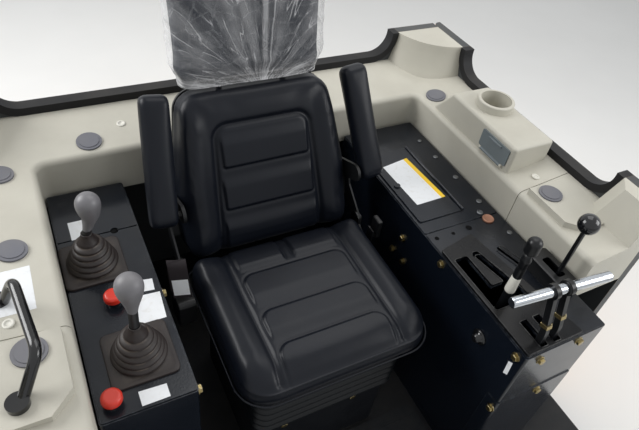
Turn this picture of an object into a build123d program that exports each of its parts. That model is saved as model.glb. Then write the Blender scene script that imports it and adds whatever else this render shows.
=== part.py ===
"""Operator's station of a crawler dozer: the lower half of the cab, with floor, walls and moulded lining,
a suspension seat, and a control console on each side of it.

Millimetres, +Z up. The operator faces -Y, so the operator's left is +X. The origin is the centre of the four
cab mounts, on the underside of their pads. Heights in this file are above the floor, unless said otherwise.
"""

import os
from math import atan2, cos, degrees, hypot, radians, sin

from build123d import *

# Floor and its frame
FLOOR_TOP = 70.0  # above the underside of the mounting pads
FLOOR_THICK = 8.0
PAD_THICK = 12.0
PAD_SIZE = 150.0
PAD_CORNER_R = 14.0
PAD_PITCH_X = 1320.0
PAD_PITCH_Y = 1040.0
PAD_HOLE_R = 11.0
RAIL_X = 560.0
RAIL_WIDTH = 70.0
RAIL_WALL = 5.0
RAIL_LENGTH = 1214.0
CROSS_PITCH = 520.0
CROSS_WIDTH = 90.0
MAT_HALF_WIDTH = 322.0
MAT_CORNER_R = 25.0
MAT_RIBS = 12
MAT_RIB_PITCH = 30.0
MAT_RIB_WIDTH = 8.0
MAT_RIB_MARGIN = 25.0
MAT_REAR = -218.0
MAT_LENGTH = 390.0
MAT_THICK = 5.0

# Cab walls, up to the joint of the post covers
HALF_WIDTH = 800.0
REAR = 650.0
WALL = 30.0
WALL_CORNER_R = 24.0
WALL_FRONT = -330.0
SKIRT_BOTTOM = 30.0  # above the pads' underside
PRESSING_DEPTH = 6.0
PRESSING_CORNER_R = 40.0
PRESSING_TAPER = 45.0
PRESSING_SHORTER = 60.0  # of the side walls' pressings
PRESSING_MARGIN = 70.0
SILL = 690.0
POST_TOP = 785.0
WINDOW_CORNER_R = 85.0
REAR_WINDOW_HALF = 610.0
SIDE_WINDOW_REAR = 478.0
SIDE_WINDOW_FRONT = -200.0
SEAL_WIDTH = 22.0
SEAL_PROUD = 6.0

# Moulded lining
LINING_WALL = 5.0
LINING_LEFT = 595.0
LINING_RIGHT = 530.0
LINING_REAR = 435.0
LINING_BOTTOM = 540.0
LINING_FRONT = -330.0
RIDGE = 667.0  # the inner edge of the lining, from where it rises to the sills
LINING_EDGE_R = 16.0
LINING_CORNER_R = 25.0
LINING_SEAM_Y = -60.0
LINING_SEAM_X = -190.0
SEAM = 2.0
PLATEAU_TOP = 688.0
PLATEAU_SET = 16.0
PLATEAU_REAR = -72.0
PLATEAU_FRONT = -245.0
PLATEAU_CUT = 40.0
POST_FLARE_MID = 715.0
# Where a rear post's cover leaves the rear wall, its bulge, and where it meets the side wall
REAR_POST = ((610.0, 620.0), (672.0, 520.0), (770.0, 478.0))
FRONT_POST_INNER = 700.0
VENT_R = 31.0
VENT_THICK = 4.0

VENTS = (
    # x, y, height, lean about X, lean about Y
    (-394.0, 480.0, 673.0, 7.4, 0.0),
    (-606.0, 410.0, 675.0, 0.0, 5.6),
    (-606.0, 158.0, 675.0, 0.0, 5.6),
    (-602.0, -110.0, 688.0, 0.0, 0.0),
    (642.0, 400.0, 673.5, 0.0, -7.8),
    (650.0, -110.0, 688.0, 0.0, 0.0),
)

# Cup holder box on the left lining
BOX_INNER = 608.0
BOX_SET = 22.0  # of the box from the wall
BOX_FRONT = 12.0
BOX_REAR = 370.0
BOX_RAMP = 75.0
BOX_TOP = 752.0
BOX_EDGE_R = 9.0
CUP_OFF = 12.0  # of the cup from the middle of the box, towards the wall
CUP_Y = 205.0
CUP_R = 45.0
CUP_WALL = 9.0
CUP_RIM_TOP = 775.0
CUP_DEPTH = 78.0
POCKET_FRONT = 30.0
POCKET_LENGTH = 104.0
POCKET_RISE = 11.0  # above the flap's axis
POCKET_HEIGHT = 42.0
POCKET_DEPTH = 24.0
FLAP_LAP = 4.0
FLAP_THICK = 4.0
FLAP_CLEAR = 0.3
FLAP_PIN_R = 2.0
FLAP_PIN_GAP = 0.05
FLAP_KNUCKLE_R = 4.5
FLAP_AXIS_OFF = 5.0  # in front of the box's face
FLAP_AXIS_RISE = 12.9  # above the lining
FLAP_LUG = 6.0

# Grab handle on the right lining: the corners of its path
HANDLE_PATH = (
    (-640.0, 34.0, 660.0),
    (-602.0, 8.0, 752.0),
    (-583.0, -160.0, 752.0),
    (-630.0, -205.0, 678.0),
)
HANDLE_BEND_R = 30.0
HANDLE_R = 10.0
HANDLE_FOOT = 9.0  # how much thicker its feet are
HANDLE_FOOT_TALL = 44.0

# Consoles
CONSOLE_TOP = 570.0
CONSOLE_SHEET = 3.0
CONSOLE_FOLD_R = 7.0
CONSOLE_REAR = 424.0
COVER_SET = 3.0  # of the cover plates inside the console's edge
COVER_JOINT = 4.0
COVER_HOLE_X = -395.0  # the round hole in the right cover's joint
COVER_HOLE_R = 10.0
CUT_REACH = 40.0  # how deep a cutting form runs through a top plate
RIGHT_INNER = 338.0
RIGHT_OUTER = 526.0
RIGHT_FRONT = -229.0
RIGHT_JOINT_Y = 252.0
LEFT_INNER = 336.0
LEFT_OUTER = 588.0
LEFT_FRONT = -436.0
LEFT_JOINT_Y = -31.0
FRONT_COVER_FOOT = 12.0
FRONT_COVER_TOP = 371.0
FRONT_COVER_SIDE = 36.0  # how far it reaches round the console's inner corner
FRONT_COVER_SET = 10.0

# Control levers with rubber boots on the right console
BOOT_LEVERS = (
    # name, x, y, height of the knob's centre, its shift in x from the lever's foot
    ("blade_lever", "blade_boot", -423.0, -108.0, 788.0, 3.0),
    ("ripper_lever", "ripper_boot", -460.0, 165.0, 752.0, 16.0),
)
BOOT_FLANGE = 134.0
BOOT_FLANGE_R = 14.0
BOOT_FLANGE_THICK = 6.0
BOOT_RING_PITCH = 13.0
BOOT_VALLEYS = (56.0, 50.0, 44.5, 38.5, 32.0, 25.0)  # radius between the rings, from the flange up
BOOT_RING_BULGE = 6.5
BOOT_SKIN = 3.0
BOOT_NECK_R = 14.0
BOOT_NECK_LENGTH = 18.0
BOOT_INSIDE_R = 46.0
BOOT_GAP = 0.3
LEVER_R = 9.5
LEVER_PIVOT = 542.0
LEVER_BEND = 668.0
KNOB_R = 26.0
KNOB_FOOT_R = 11.0
KNOB_FOOT = 36.0  # below the centre of the ball
SHAFT_R = 8.0
SHAFT_GAP = 0.1
BOSS_R = 15.0
BOSS_WIDTH = 30.0
CHEEK_THICK = 5.0
CHEEK_LENGTH = 44.0
CHEEK_BELOW = 14.0  # how far a cheek reaches below its pivot
CHEEK_REACH = 50.0
COLLAR_R = 12.0
COLLAR_THICK = 6.0
COLLAR_GAP = 0.5

# Red push buttons: x, y
BUTTONS = ((-494.0, -194.0), (-441.0, 38.0))
BUTTON_R = 20.0
BUTTON_FOOT_R = 14.0
BUTTON_FOOT = 16.0
BUTTON_RIM = 6.0
BUTTON_DOME = 9.0

# Gear lever in the gate of the left console
GATE_THICK = 8.0
GATE_OUTLINE = ((340.0, -99.0), (452.0, -76.0), (512.0, -432.0), (340.0, -432.0))
GATE_EDGE_R = 2.0
GATE_CORNER_R = 6.0
SLOT_INNER = 350.0
SLOT_WIDTH = 42.0
SLOT_CORNER_R = 7.0
SLOT_REAR = -138.0
SLOT_FRONT = -306.0
SECOND_SLOT = ((419.0, -146.0), (452.0, -294.0))
SECOND_SLOT_WIDTH = 25.0
CROSS_REAR = -240.0
CROSS_OUTER = 462.0
SIDE_SLOT = ((498.0, -144.0), (517.0, -213.0))
SIDE_SLOT_WIDTH = 13.0
GEAR_X = 401.0
GEAR_Y = -281.0
GEAR_KNOB = 761.0
GEAR_KNOB_R = 17.0
GEAR_KNOB_TALL = 44.0
GEAR_KNOB_FOOT = 26.0  # below the knob's centre
GEAR_R = 8.0
GEAR_SLEEVE_WALL = 3.0
GEAR_SLEEVE_TALL = 215.0
GEAR_PIVOT = 470.0
GEAR_BOSS_R = 13.0
GEAR_BOSS_WIDTH = 26.0
GEAR_SHAFT_R = 6.0
GEAR_FRAME = (339.0, 478.0)
GEAR_NOTCH = (352.0, 452.0)

# Throttle lever in its block
THROTTLE_X = 551.0
THROTTLE_Y = -288.0
THROTTLE_KNOB = 779.0
THROTTLE_KNOB_R = 25.0
THROTTLE_R = 6.0
THROTTLE_PIVOT = 525.0
THROTTLE_BOSS_R = 11.0
THROTTLE_BOSS_WIDTH = 22.0
THROTTLE_SHAFT_R = 5.0
THROTTLE_SLOT = (-301.0, -238.0)
THROTTLE_SLOT_WIDTH = 24.0
BLOCK_FROM = (521.0, -326.0)
BLOCK_TO = (581.0, -208.0)
BLOCK_HEIGHT = 42.0
BLOCK_WALL = 4.0

# Steering lever: two arms in slots with one bar across them
STEER_ARMS = (392.0, 432.0)
# y and height along the centre line of a steering arm
STEER_PATH = ((-402.0, 330.0), (-411.0, 560.0), (-408.0, 610.0), (-381.0, 706.0))
STEER_BEND_R = 60.0
STEER_ARM_THICK = 12.0
STEER_ARM_WIDTH = 16.0
STEER_SLOT = (-427.0, -352.0)
STEER_CLEAR = 5.5
STEER_BAR = 715.0
STEER_BAR_R = 12.0
STEER_BAR_FROM = (282.0, -366.0)
STEER_BAR_TO = (549.0, -391.0)
STEER_EYE_R = 18.0
STEER_SHAFT_R = 8.0
STEER_CHEEK = (5.0, 50.0)  # thickness and height of the cheeks that hold the shaft
STEER_CHEEK_REACH = 22.0  # past the shaft's axis
STEER_BOSS_R = 16.0
STEER_BOSS_WIDTH = 22.0
STEER_CHEEKS = (366.0, 458.0)

# Storage tray under a hinged lid, behind the gate
LID_AXIS_X = 492.0
LID_AXIS_OFF = 5.5  # above the console's top
LID_INNER = 348.0
LID_FRONT = 10.0
LID_REAR = 304.0
LID_THICK = 3.0
LID_CORNER_R = 6.0
LID_PULL = (18.0, 9.0, 4.0)  # set in from the edge, radius, height
LID_GAP = 1.0
LID_PIN_R = 2.0
LID_PIN_GAP = 0.05
LID_KNUCKLE_R = 5.0
LID_KNUCKLES = 5
TRAY_MARGIN = 10.0
TRAY_BOTTOM = 440.0
TRAY_CORNER_R = 6.0

# Seat: pedestal, suspension and slide rails
PEDESTAL_HALF = 190.0
PEDESTAL_FRONT = -206.0
PEDESTAL_REAR = 190.0
PEDESTAL_TOP = 225.0
PEDESTAL_SHEET = 4.0
BELLOWS_TOP = 395.0
BELLOWS_FOLDS = 6
BELLOWS_FOLD_DEPTH = 9.0
BELLOWS_HALF = 196.0
BELLOWS_FRONT = -216.0
BELLOWS_REAR = 200.0
BELLOWS_SKIN = 3.0
BELLOWS_CORNER_R = 30.0
SUSPENSION_PLATE = 6.0
SCISSOR_X = 140.0
SCISSOR_RUN = 230.0
SCISSOR_PLATE = (60.0, 340.0, 8.0)  # wider than the bars by, length, thickness
SCISSOR_PIN_R = 9.0
SCISSOR_BAR = (10.0, 26.0)
SEAT_RAIL_X = 150.0
SEAT_RAIL_LENGTH = 400.0
SEAT_RAIL_STEM = 10.0
SEAT_RAIL_HEAD = 26.0
SEAT_RAIL_HEAD_THICK = 5.0
SEAT_RAIL_TOP = 417.0
SLIDER_LENGTH = 230.0
SLIDER_WIDTH = 40.0
SLIDER_CLEAR = 0.5

# Seat pan and cushion
PAN_TOP = 436.0
PAN_DEPTH = 16.0
PAN_SHEET = 3.0
PAN_HALF = 222.0
PAN_MARGIN = 15.0  # of the pan inside the cushion's front and rear
PAN_CORNER_R = 40.0
CUSHION_HALF = 250.0
CUSHION_FRONT = -262.0
CUSHION_REAR = 165.0
CUSHION_TOP = 506.0
CUSHION_CORNER_R = 72.0
CUSHION_REAR_R = 30.0
CUSHION_EDGE_R = 24.0
CUSHION_PANEL_HALF = 152.0
CUSHION_GROOVES = (-155.0, -56.0, 60.0)
GROOVE_WIDTH = 8.0
GROOVE_DEPTH = 6.0

# Backrest, drawn in its own plane through the recliner's axis
RECLINE = 22.5
HINGE_Y = 172.0
HINGE_HEIGHT = 468.0
HINGE_PIN_R = 8.0
HINGE_PIN_GAP = 0.1
HINGE_PLATE = 5.0
HINGE_PLATE_R = 24.0
HINGE_PLATE_REACH = 90.0  # of its foot ahead of the hinge
HINGE_PIN_HEAD = 4.0
HINGE_PLATE_X = 253.0
HINGE_PLATE_GAP = 1.0
HINGE_FOOT_LENGTH = 96.0  # the flat foot that joins a hinge plate to the pan
HINGE_FOOT_THICK = 8.0
HINGE_FOOT_SET = 62.0  # its middle, ahead of the hinge
BACK_FACE = 8.0  # ahead of the recliner's axis
BACK_BOTTOM = 14.0
BACK_TOP = 432.0
BACK_THICK = 68.0
BACK_SHELL = 10.0
BACK_ARM = (34.0, 50.0, 96.0, 150.0)  # width, and heights of the recliner arm's corners
BACK_STRAP = (40.0, 105.0, 88.0, 6.0)  # lap on the shell, height of its middle, width, thickness
BACK_HALF_LOW = 236.0
BACK_HALF_TOP = 197.0
BACK_SHOULDER = 190.0
BACK_SHOULDER_R = 120.0
BACK_CORNER_R = 58.0
BACK_FOOT_R = 40.0
BACK_EDGE_R = 22.0
BACK_GROOVES = (122.0, 233.0)
BACK_PANEL_HALF = 124.0
BACK_PANEL_FROM = 45.0
BACK_PANEL_TO = 338.0

# Head part of the backrest, on two posts
HEAD_TILT = 9.0
HEAD_Y = 358.0
HEAD_FOOT = 868.0
HEAD_HALF = 186.0
HEAD_TALL = 275.0
HEAD_THICK = 82.0
HEAD_CORNER_R = 62.0
HEAD_FOOT_R = 30.0
HEAD_EDGE_R = 26.0
HEAD_POST_X = 85.0
HEAD_POST_R = 7.0
HEAD_POST_GAP = 0.1
HEAD_POST_LENGTH = 140.0
HEAD_POST_SET = 26.0  # behind the head part's front face

# Armrests
ARM_X = 286.0
ARM_WIDTH = 70.0
ARM_THICK = 60.0
ARM_LENGTH = 326.0
ARM_EDGE_R = 16.0
ARM_TILT = 27.7  # from upright when folded up
ARM_SPLAY = 6.0  # inwards towards the top
ARM_PIVOT_Y = 196.0
ARM_PIVOT_HEIGHT = 628.0
ARM_PIN_R = 8.0
ARM_PIN_GAP = 0.1
ARM_FOOT = 30.0
ARM_BRACKET = 8.0
ARM_BRACKET_R = 24.0
ARM_BRACKET_SET = 6.0  # ahead of the back cushion's rear face

# Seat belt
RETRACTOR_AT = (-280.0, 88.0, 420.0)
RETRACTOR_SIZE = (44.0, 70.0, 86.0)
RETRACTOR_R = 14.0
BUCKLE_AT = (276.0, 96.0, 500.0)
BUCKLE_SIZE = (16.0, 34.0, 62.0)
BUCKLE_EDGE_R = 5.0
BUCKLE_STEM = (4.0, 26.0)  # thickness and width

WALL_IN_X = HALF_WIDTH - WALL
WALL_IN_Y = REAR - WALL
FLOOR_FRONT = -REAR
SLOPE_END = 8.0  # the lining reaches the sill's height this far inside the wall
BOX_OUTER = WALL_IN_X - BOX_SET
CUP_X = (BOX_INNER + BOX_OUTER) / 2 + CUP_OFF


# How a box or cylinder stands on, or hangs from, its place
STANDING = (Align.CENTER, Align.CENTER, Align.MIN)
HUNG = (Align.CENTER, Align.CENTER, Align.MAX)


def up(height):
    """A height above the floor as a Z of the model."""
    return FLOOR_TOP + height


def raised(sketch, height):
    """A flat sketch moved to a height above the floor."""
    return sketch.moved(Location((0, 0, up(height))))


def keep(piece, name):
    """Labels a finished piece and writes it as the node of that name."""
    piece.label = name
    export_step(piece, f"parts/{name}.step")


os.makedirs("parts", exist_ok=True)

# Floor plate, its frame of folded channels with four drilled pads, and the rubber mat
with BuildPart() as floor_plate:
    with BuildSketch(Plane.XY.offset(FLOOR_TOP - FLOOR_THICK)):
        with Locations((0, (FLOOR_FRONT + WALL_IN_Y) / 2)):
            Rectangle(2 * WALL_IN_X, WALL_IN_Y - FLOOR_FRONT)
    extrude(amount=FLOOR_THICK)
    fillet(floor_plate.edges().filter_by(Axis.Z).group_by(Axis.Y)[0], radius=60)
keep(floor_plate.part, "floor_plate")

with BuildPart() as floor_frame:
    rail_height = FLOOR_TOP - FLOOR_THICK - PAD_THICK
    for inset, top in ((0, 0), (RAIL_WALL, RAIL_WALL)):
        with BuildSketch(Plane.XY.offset(PAD_THICK)):
            with Locations((-RAIL_X, 0), (RAIL_X, 0)):
                Rectangle(RAIL_WIDTH - 2 * inset, RAIL_LENGTH - 2 * inset)
            with GridLocations(0, CROSS_PITCH, 1, 3):
                Rectangle(2 * RAIL_X, CROSS_WIDTH - 2 * inset)
        extrude(amount=rail_height - top, mode=Mode.SUBTRACT if inset else Mode.ADD)
    with BuildSketch():
        with GridLocations(PAD_PITCH_X, PAD_PITCH_Y, 2, 2):
            RectangleRounded(PAD_SIZE, PAD_SIZE, PAD_CORNER_R)
            Circle(PAD_HOLE_R, mode=Mode.SUBTRACT)
        with Locations((-RAIL_X, 0), (RAIL_X, 0)):
            with GridLocations(0, PAD_PITCH_Y, 1, 2):
                Rectangle(RAIL_WIDTH, PAD_SIZE)
    extrude(amount=PAD_THICK)
keep(floor_frame.part, "floor_frame")

with BuildPart() as floor_mat:
    with BuildSketch(Plane.XY.offset(FLOOR_TOP)):
        with Locations((0, MAT_REAR - MAT_LENGTH / 2)):
            RectangleRounded(2 * MAT_HALF_WIDTH, MAT_LENGTH, MAT_CORNER_R)
    extrude(amount=MAT_THICK)
    with BuildSketch(Plane.XY.offset(FLOOR_TOP + MAT_THICK)):
        with Locations((0, MAT_REAR - MAT_LENGTH / 2)):
            with GridLocations(0, MAT_RIB_PITCH, 1, MAT_RIBS):
                Rectangle(2 * (MAT_HALF_WIDTH - MAT_RIB_MARGIN), MAT_RIB_WIDTH)
    extrude(amount=1.5)
keep(floor_mat.part, "floor_mat")


# Walls: pressed panels with the lower part of the window apertures
def window(width, middle=0.0, inset=0.0, mode=Mode.ADD):
    """Draws a window's outline in the sketch at hand, from the sill to above the posts."""
    tall = 2 * (POST_TOP - SILL) + 200
    with Locations((middle, up(SILL) + tall / 2)):
        RectangleRounded(width - 2 * inset, tall - 2 * inset, WINDOW_CORNER_R - inset, mode=mode)


def up_to_post(width, middle=0.0):
    """Cuts the sketch at hand off at the joint of the post covers."""
    with Locations((middle, up(POST_TOP) / 2)):
        Rectangle(width + 100, up(POST_TOP), mode=Mode.INTERSECT)


side_window = SIDE_WINDOW_REAR - SIDE_WINDOW_FRONT
side_window_y = (SIDE_WINDOW_REAR + SIDE_WINDOW_FRONT) / 2
wall_tall = up(POST_TOP) - SKIRT_BOTTOM
for side, name in ((1, "wall_left"), (-1, "wall_right")):
    outer_plane = Plane(origin=(side * HALF_WIDTH, 0, 0), x_dir=(0, side, 0), z_dir=(side, 0, 0))
    with BuildPart() as side_wall:
        with BuildSketch(outer_plane):
            with Locations((side * (WALL_FRONT + REAR) / 2, SKIRT_BOTTOM + wall_tall / 2)):
                Rectangle(REAR - WALL_FRONT, wall_tall)
        extrude(amount=-WALL)
        rear_corners = side_wall.edges().filter_by(Axis.Z).group_by(Axis.Y)[-1].sort_by(Axis.X)
        fillet(rear_corners[(side - 1) // 2], radius=WALL_CORNER_R)
        with BuildSketch(outer_plane):
            window(side_window, side * side_window_y)
        extrude(amount=-WALL, mode=Mode.SUBTRACT)
        with BuildSketch(outer_plane):
            panel_tall = up(SILL) - SKIRT_BOTTOM - 2 * PRESSING_MARGIN
            with Locations((side * side_window_y, SKIRT_BOTTOM + PRESSING_MARGIN + panel_tall / 2)):
                panel_long = REAR - WALL_FRONT - 2 * PRESSING_MARGIN - PRESSING_SHORTER
                RectangleRounded(panel_long, panel_tall, PRESSING_CORNER_R)
        extrude(amount=-PRESSING_DEPTH, taper=PRESSING_TAPER, mode=Mode.SUBTRACT)
    keep(side_wall.part, name)

rear_plane = Plane(origin=(0, REAR, 0), x_dir=(-1, 0, 0), z_dir=(0, 1, 0))
with BuildPart() as wall_rear:
    with BuildSketch(rear_plane):
        with Locations((0, SKIRT_BOTTOM + wall_tall / 2)):
            Rectangle(2 * WALL_IN_X, wall_tall)
    extrude(amount=-WALL)
    with BuildSketch(rear_plane):
        window(2 * REAR_WINDOW_HALF)
    extrude(amount=-WALL, mode=Mode.SUBTRACT)
    with BuildSketch(rear_plane):
        panel_tall = up(SILL) - SKIRT_BOTTOM - 2 * PRESSING_MARGIN
        with Locations((0, SKIRT_BOTTOM + PRESSING_MARGIN + panel_tall / 2)):
            RectangleRounded(2 * (WALL_IN_X - PRESSING_MARGIN), panel_tall, PRESSING_CORNER_R)
    extrude(amount=-PRESSING_DEPTH, taper=PRESSING_TAPER, mode=Mode.SUBTRACT)
keep(wall_rear.part, "wall_rear")

# Rubber on the lower edges of the windows
seals = []
for side, name in ((1, "seal_left"), (-1, "seal_right")):
    with BuildPart() as side_seal:
        with BuildSketch(Plane(origin=(side * HALF_WIDTH, 0, 0), x_dir=(0, side, 0), z_dir=(side, 0, 0))):
            window(side_window, side * side_window_y)
            window(side_window, side * side_window_y, SEAL_WIDTH, Mode.SUBTRACT)
            up_to_post(side_window, side * side_window_y)
        extrude(amount=-WALL - SEAL_PROUD)
    seals.append(side_seal.part)
    keep(side_seal.part, name)

with BuildPart() as seal_rear:
    with BuildSketch(rear_plane):
        window(2 * REAR_WINDOW_HALF)
        window(2 * REAR_WINDOW_HALF, 0, SEAL_WIDTH, Mode.SUBTRACT)
        up_to_post(2 * REAR_WINDOW_HALF)
    extrude(amount=-WALL - SEAL_PROUD)
seals.append(seal_rear.part)
keep(seal_rear.part, "seal_rear")


# Moulded lining: four hollow pieces cut from one form, open below and towards the walls
def basin(height, left, right, rear, corner):
    """The plan of the space between the linings, open at the front, at a height above the floor."""
    front = LINING_FRONT - 60
    with BuildSketch(Plane.XY.offset(up(height))) as plan:
        with Locations(((left - right) / 2, (front + rear) / 2)):
            Rectangle(left + right, rear - front)
        fillet(plan.vertices().group_by(Axis.Y)[-1], radius=corner)
    return plan.sketch


def post_plan(height, side, grow, points, inset):
    """The plan of a rear post's cover: the wall's corner cut off by an arc through three points."""
    (x1, y1), (x2, y2), (x3, y3) = points
    edge = inset + 4 if inset else 0
    corner = (side * (WALL_IN_X + edge), WALL_IN_Y + edge)
    start = (side * (x1 - grow + inset), WALL_IN_Y + edge)
    middle = (side * (x2 - grow * 0.7 + inset * 0.7), y2 - grow * 0.7 + inset * 0.7)
    end = (side * (WALL_IN_X + edge), y3 - grow + inset)
    with BuildSketch(Plane.XY.offset(up(height))) as plan:
        with BuildLine():
            Line(corner, start)
            ThreePointArc(start, middle, end)
            Line(end, corner)
        make_face()
    return plan.sketch


def front_post_plan(height, side, grow, inset):
    """The plan of a front post's cover, behind the door."""
    edge = inset + 4 if inset else 0
    inner = FRONT_POST_INNER + 30 - grow + inset
    rear = SIDE_WINDOW_FRONT + grow - inset
    with BuildSketch(Plane.XY.offset(up(height))) as plan:
        with BuildLine():
            Polyline(
                (side * (WALL_IN_X + edge), LINING_FRONT + inset),
                (side * inner, LINING_FRONT + inset),
                (side * inner, rear - 34),
                (side * (inner + 34), rear),
                (side * (WALL_IN_X + edge), rear),
                close=True,
            )
        make_face()
    return plan.sketch


def lining_form(inset):
    """The lining as a solid; with an inset, the space inside it that leaves a wall of that thickness."""
    edge = inset + 4 if inset else 0
    slope_top = up(SILL) - inset
    with BuildPart() as form:
        with BuildSketch(Plane.XY.offset(up(LINING_BOTTOM) - edge)):
            front = LINING_FRONT + inset
            with Locations((0, (front + WALL_IN_Y + edge) / 2)):
                Rectangle(2 * (WALL_IN_X + edge), WALL_IN_Y + edge - front)
        extrude(amount=slope_top - up(LINING_BOTTOM) + edge)
        left, right, rear = LINING_LEFT + inset, LINING_RIGHT + inset, LINING_REAR + inset
        between = basin(LINING_BOTTOM - edge, left, right, rear, LINING_CORNER_R - inset)
        extrude(between, amount=200, mode=Mode.SUBTRACT)
        foot = basin(RIDGE - inset, left, right, rear, LINING_CORNER_R - inset)
        wide = WALL_IN_X - SLOPE_END
        top = basin(SILL - inset, wide, wide, WALL_IN_Y - SLOPE_END, LINING_CORNER_R + 20)
        loft([foot, top], ruled=True, mode=Mode.SUBTRACT)
        ridge = form.edges().filter_by_position(Axis.Z, up(RIDGE) - inset - 0.1, up(RIDGE) - inset + 0.1)
        fillet(ridge.filter_by(lambda e: e.length > 20), radius=LINING_EDGE_R - inset)
        for side in (1, -1):
            inner = (LINING_LEFT if side > 0 else LINING_RIGHT) + PLATEAU_SET + inset
            with BuildSketch(Plane.XY.offset(up(RIDGE) - 30)):
                with BuildLine():
                    Polyline(
                        (side * (WALL_IN_X + edge), PLATEAU_REAR - inset),
                        (side * inner, PLATEAU_REAR - inset),
                        (side * inner, PLATEAU_FRONT + PLATEAU_CUT + inset),
                        (side * (inner + PLATEAU_CUT), PLATEAU_FRONT + inset),
                        (side * (WALL_IN_X + edge), PLATEAU_FRONT + inset),
                        close=True,
                    )
                make_face()
            extrude(amount=PLATEAU_TOP - RIDGE + 30 - inset)
            heights = ((RIDGE - 30, 42), (POST_FLARE_MID, 10), (POST_TOP - inset, 0))
            loft([post_plan(height, side, grow, REAR_POST, inset) for height, grow in heights])
            heights = ((RIDGE - 30, 34), (POST_TOP - inset, 0))
            loft([front_post_plan(height, side, grow, inset) for height, grow in heights], ruled=True)
    return form.part


lining_solid = lining_form(0.0)
lining_space = lining_form(LINING_WALL)
LINING_PIECES = (
    # name, x from, x to, y from, y to
    ("lining_rear_right", -WALL_IN_X, LINING_SEAM_X - SEAM / 2, LINING_SEAM_Y + SEAM / 2, WALL_IN_Y),
    ("lining_rear_left", LINING_SEAM_X + SEAM / 2, WALL_IN_X, LINING_SEAM_Y + SEAM / 2, WALL_IN_Y),
    ("lining_front_right", -WALL_IN_X, 0.0, -REAR, LINING_SEAM_Y - SEAM / 2),
    ("lining_front_left", 0.0, WALL_IN_X, -REAR, LINING_SEAM_Y - SEAM / 2),
)
for name, x_from, x_to, y_from, y_to in LINING_PIECES:
    with BuildPart() as lining:
        add(lining_solid)
        add(lining_space, mode=Mode.SUBTRACT)
        for seal in seals:
            add(seal, mode=Mode.SUBTRACT)
        with Locations(((x_from + x_to) / 2, (y_from + y_to) / 2, up(SILL))):
            Box(x_to - x_from, y_to - y_from, 800, mode=Mode.INTERSECT)
    keep(lining.part, name)

with BuildPart() as vent_caps:
    for x, y, height, lean_x, lean_y in VENTS:
        spot = Location((x, y, up(height)), (lean_x, lean_y, 0))
        with Locations(spot):
            Cylinder(VENT_R, 2 * VENT_THICK)
            Cylinder(VENT_R - 7, 2 * VENT_THICK + 3)
    add(lining_solid, mode=Mode.SUBTRACT)
keep(vent_caps.part, "vent_caps")

# Cup holder box on the left lining, with an ashtray pocket behind a flap
lining_slope = (SILL - RIDGE) / (WALL_IN_X - SLOPE_END - LINING_LEFT)
flap_height = RIDGE + lining_slope * (BOX_INNER - FLAP_AXIS_OFF - LINING_LEFT) + FLAP_AXIS_RISE
pocket_bottom = flap_height + POCKET_RISE
flap_axis = (BOX_INNER - FLAP_AXIS_OFF, up(flap_height))
flap_middle = POCKET_FRONT + POCKET_LENGTH / 2
FRONT_LOW = (Align.MIN, Align.MIN, Align.MIN)
with BuildPart() as cup_box:
    for inset in (0, LINING_WALL):
        with BuildSketch(Plane.YZ.offset(BOX_INNER + inset)):
            with BuildLine():
                Polyline(
                    (BOX_FRONT + inset, up(RIDGE) - 10 - inset),
                    (BOX_FRONT + inset, up(BOX_TOP) - inset),
                    (BOX_REAR - BOX_RAMP - inset * 0.7, up(BOX_TOP) - inset),
                    (BOX_REAR - inset * 1.3, up(RIDGE) - 10 - inset),
                    close=True,
                )
            make_face()
        extrude(amount=BOX_OUTER - BOX_INNER - 2 * inset, mode=Mode.SUBTRACT if inset else Mode.ADD)
        if not inset:
            fillet(cup_box.edges().filter_by(lambda e: e.center().Z > up(RIDGE) + 5), radius=BOX_EDGE_R)
    with Locations((CUP_X, CUP_Y, up(CUP_RIM_TOP - CUP_DEPTH) - 4)):
        Cylinder(CUP_R + CUP_WALL, CUP_DEPTH + 4, align=STANDING)
    fillet(cup_box.edges().group_by(Axis.Z)[-1], radius=4)
    with Locations((BOX_INNER + 1, POCKET_FRONT - 4, up(pocket_bottom) - 4)):
        Box(POCKET_DEPTH + 3, POCKET_LENGTH + 8, POCKET_HEIGHT + 8, align=FRONT_LOW)
    with Locations((CUP_X, CUP_Y, up(CUP_RIM_TOP - CUP_DEPTH))):
        Cylinder(CUP_R, 2 * CUP_DEPTH, align=STANDING, mode=Mode.SUBTRACT)
    with Locations((BOX_INNER - 1, POCKET_FRONT, up(pocket_bottom))):
        Box(POCKET_DEPTH + 1, POCKET_LENGTH, POCKET_HEIGHT, align=FRONT_LOW, mode=Mode.SUBTRACT)
    with BuildSketch(Plane.XZ.offset(-flap_middle)):
        with Locations(flap_axis):
            Circle(FLAP_KNUCKLE_R)
        with Locations((flap_axis[0] + FLAP_AXIS_OFF / 2, flap_axis[1])):
            Rectangle(FLAP_AXIS_OFF + 1, 2 * FLAP_KNUCKLE_R)
    extrude(amount=POCKET_LENGTH / 2 - 4, both=True)
    with BuildSketch(Plane.XZ.offset(-flap_middle)):
        with Locations((flap_axis[0], flap_axis[1] + 10)):
            Rectangle(2 * FLAP_AXIS_OFF, 40)
    extrude(amount=POCKET_LENGTH / 2 - 4 - FLAP_LUG, both=True, mode=Mode.SUBTRACT)
    with Locations(Location((flap_axis[0], flap_middle, flap_axis[1]), (90, 0, 0))):
        Cylinder(FLAP_PIN_R, POCKET_LENGTH - 10)
    add(lining_solid, mode=Mode.SUBTRACT)
keep(cup_box.part, "cup_box")

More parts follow.
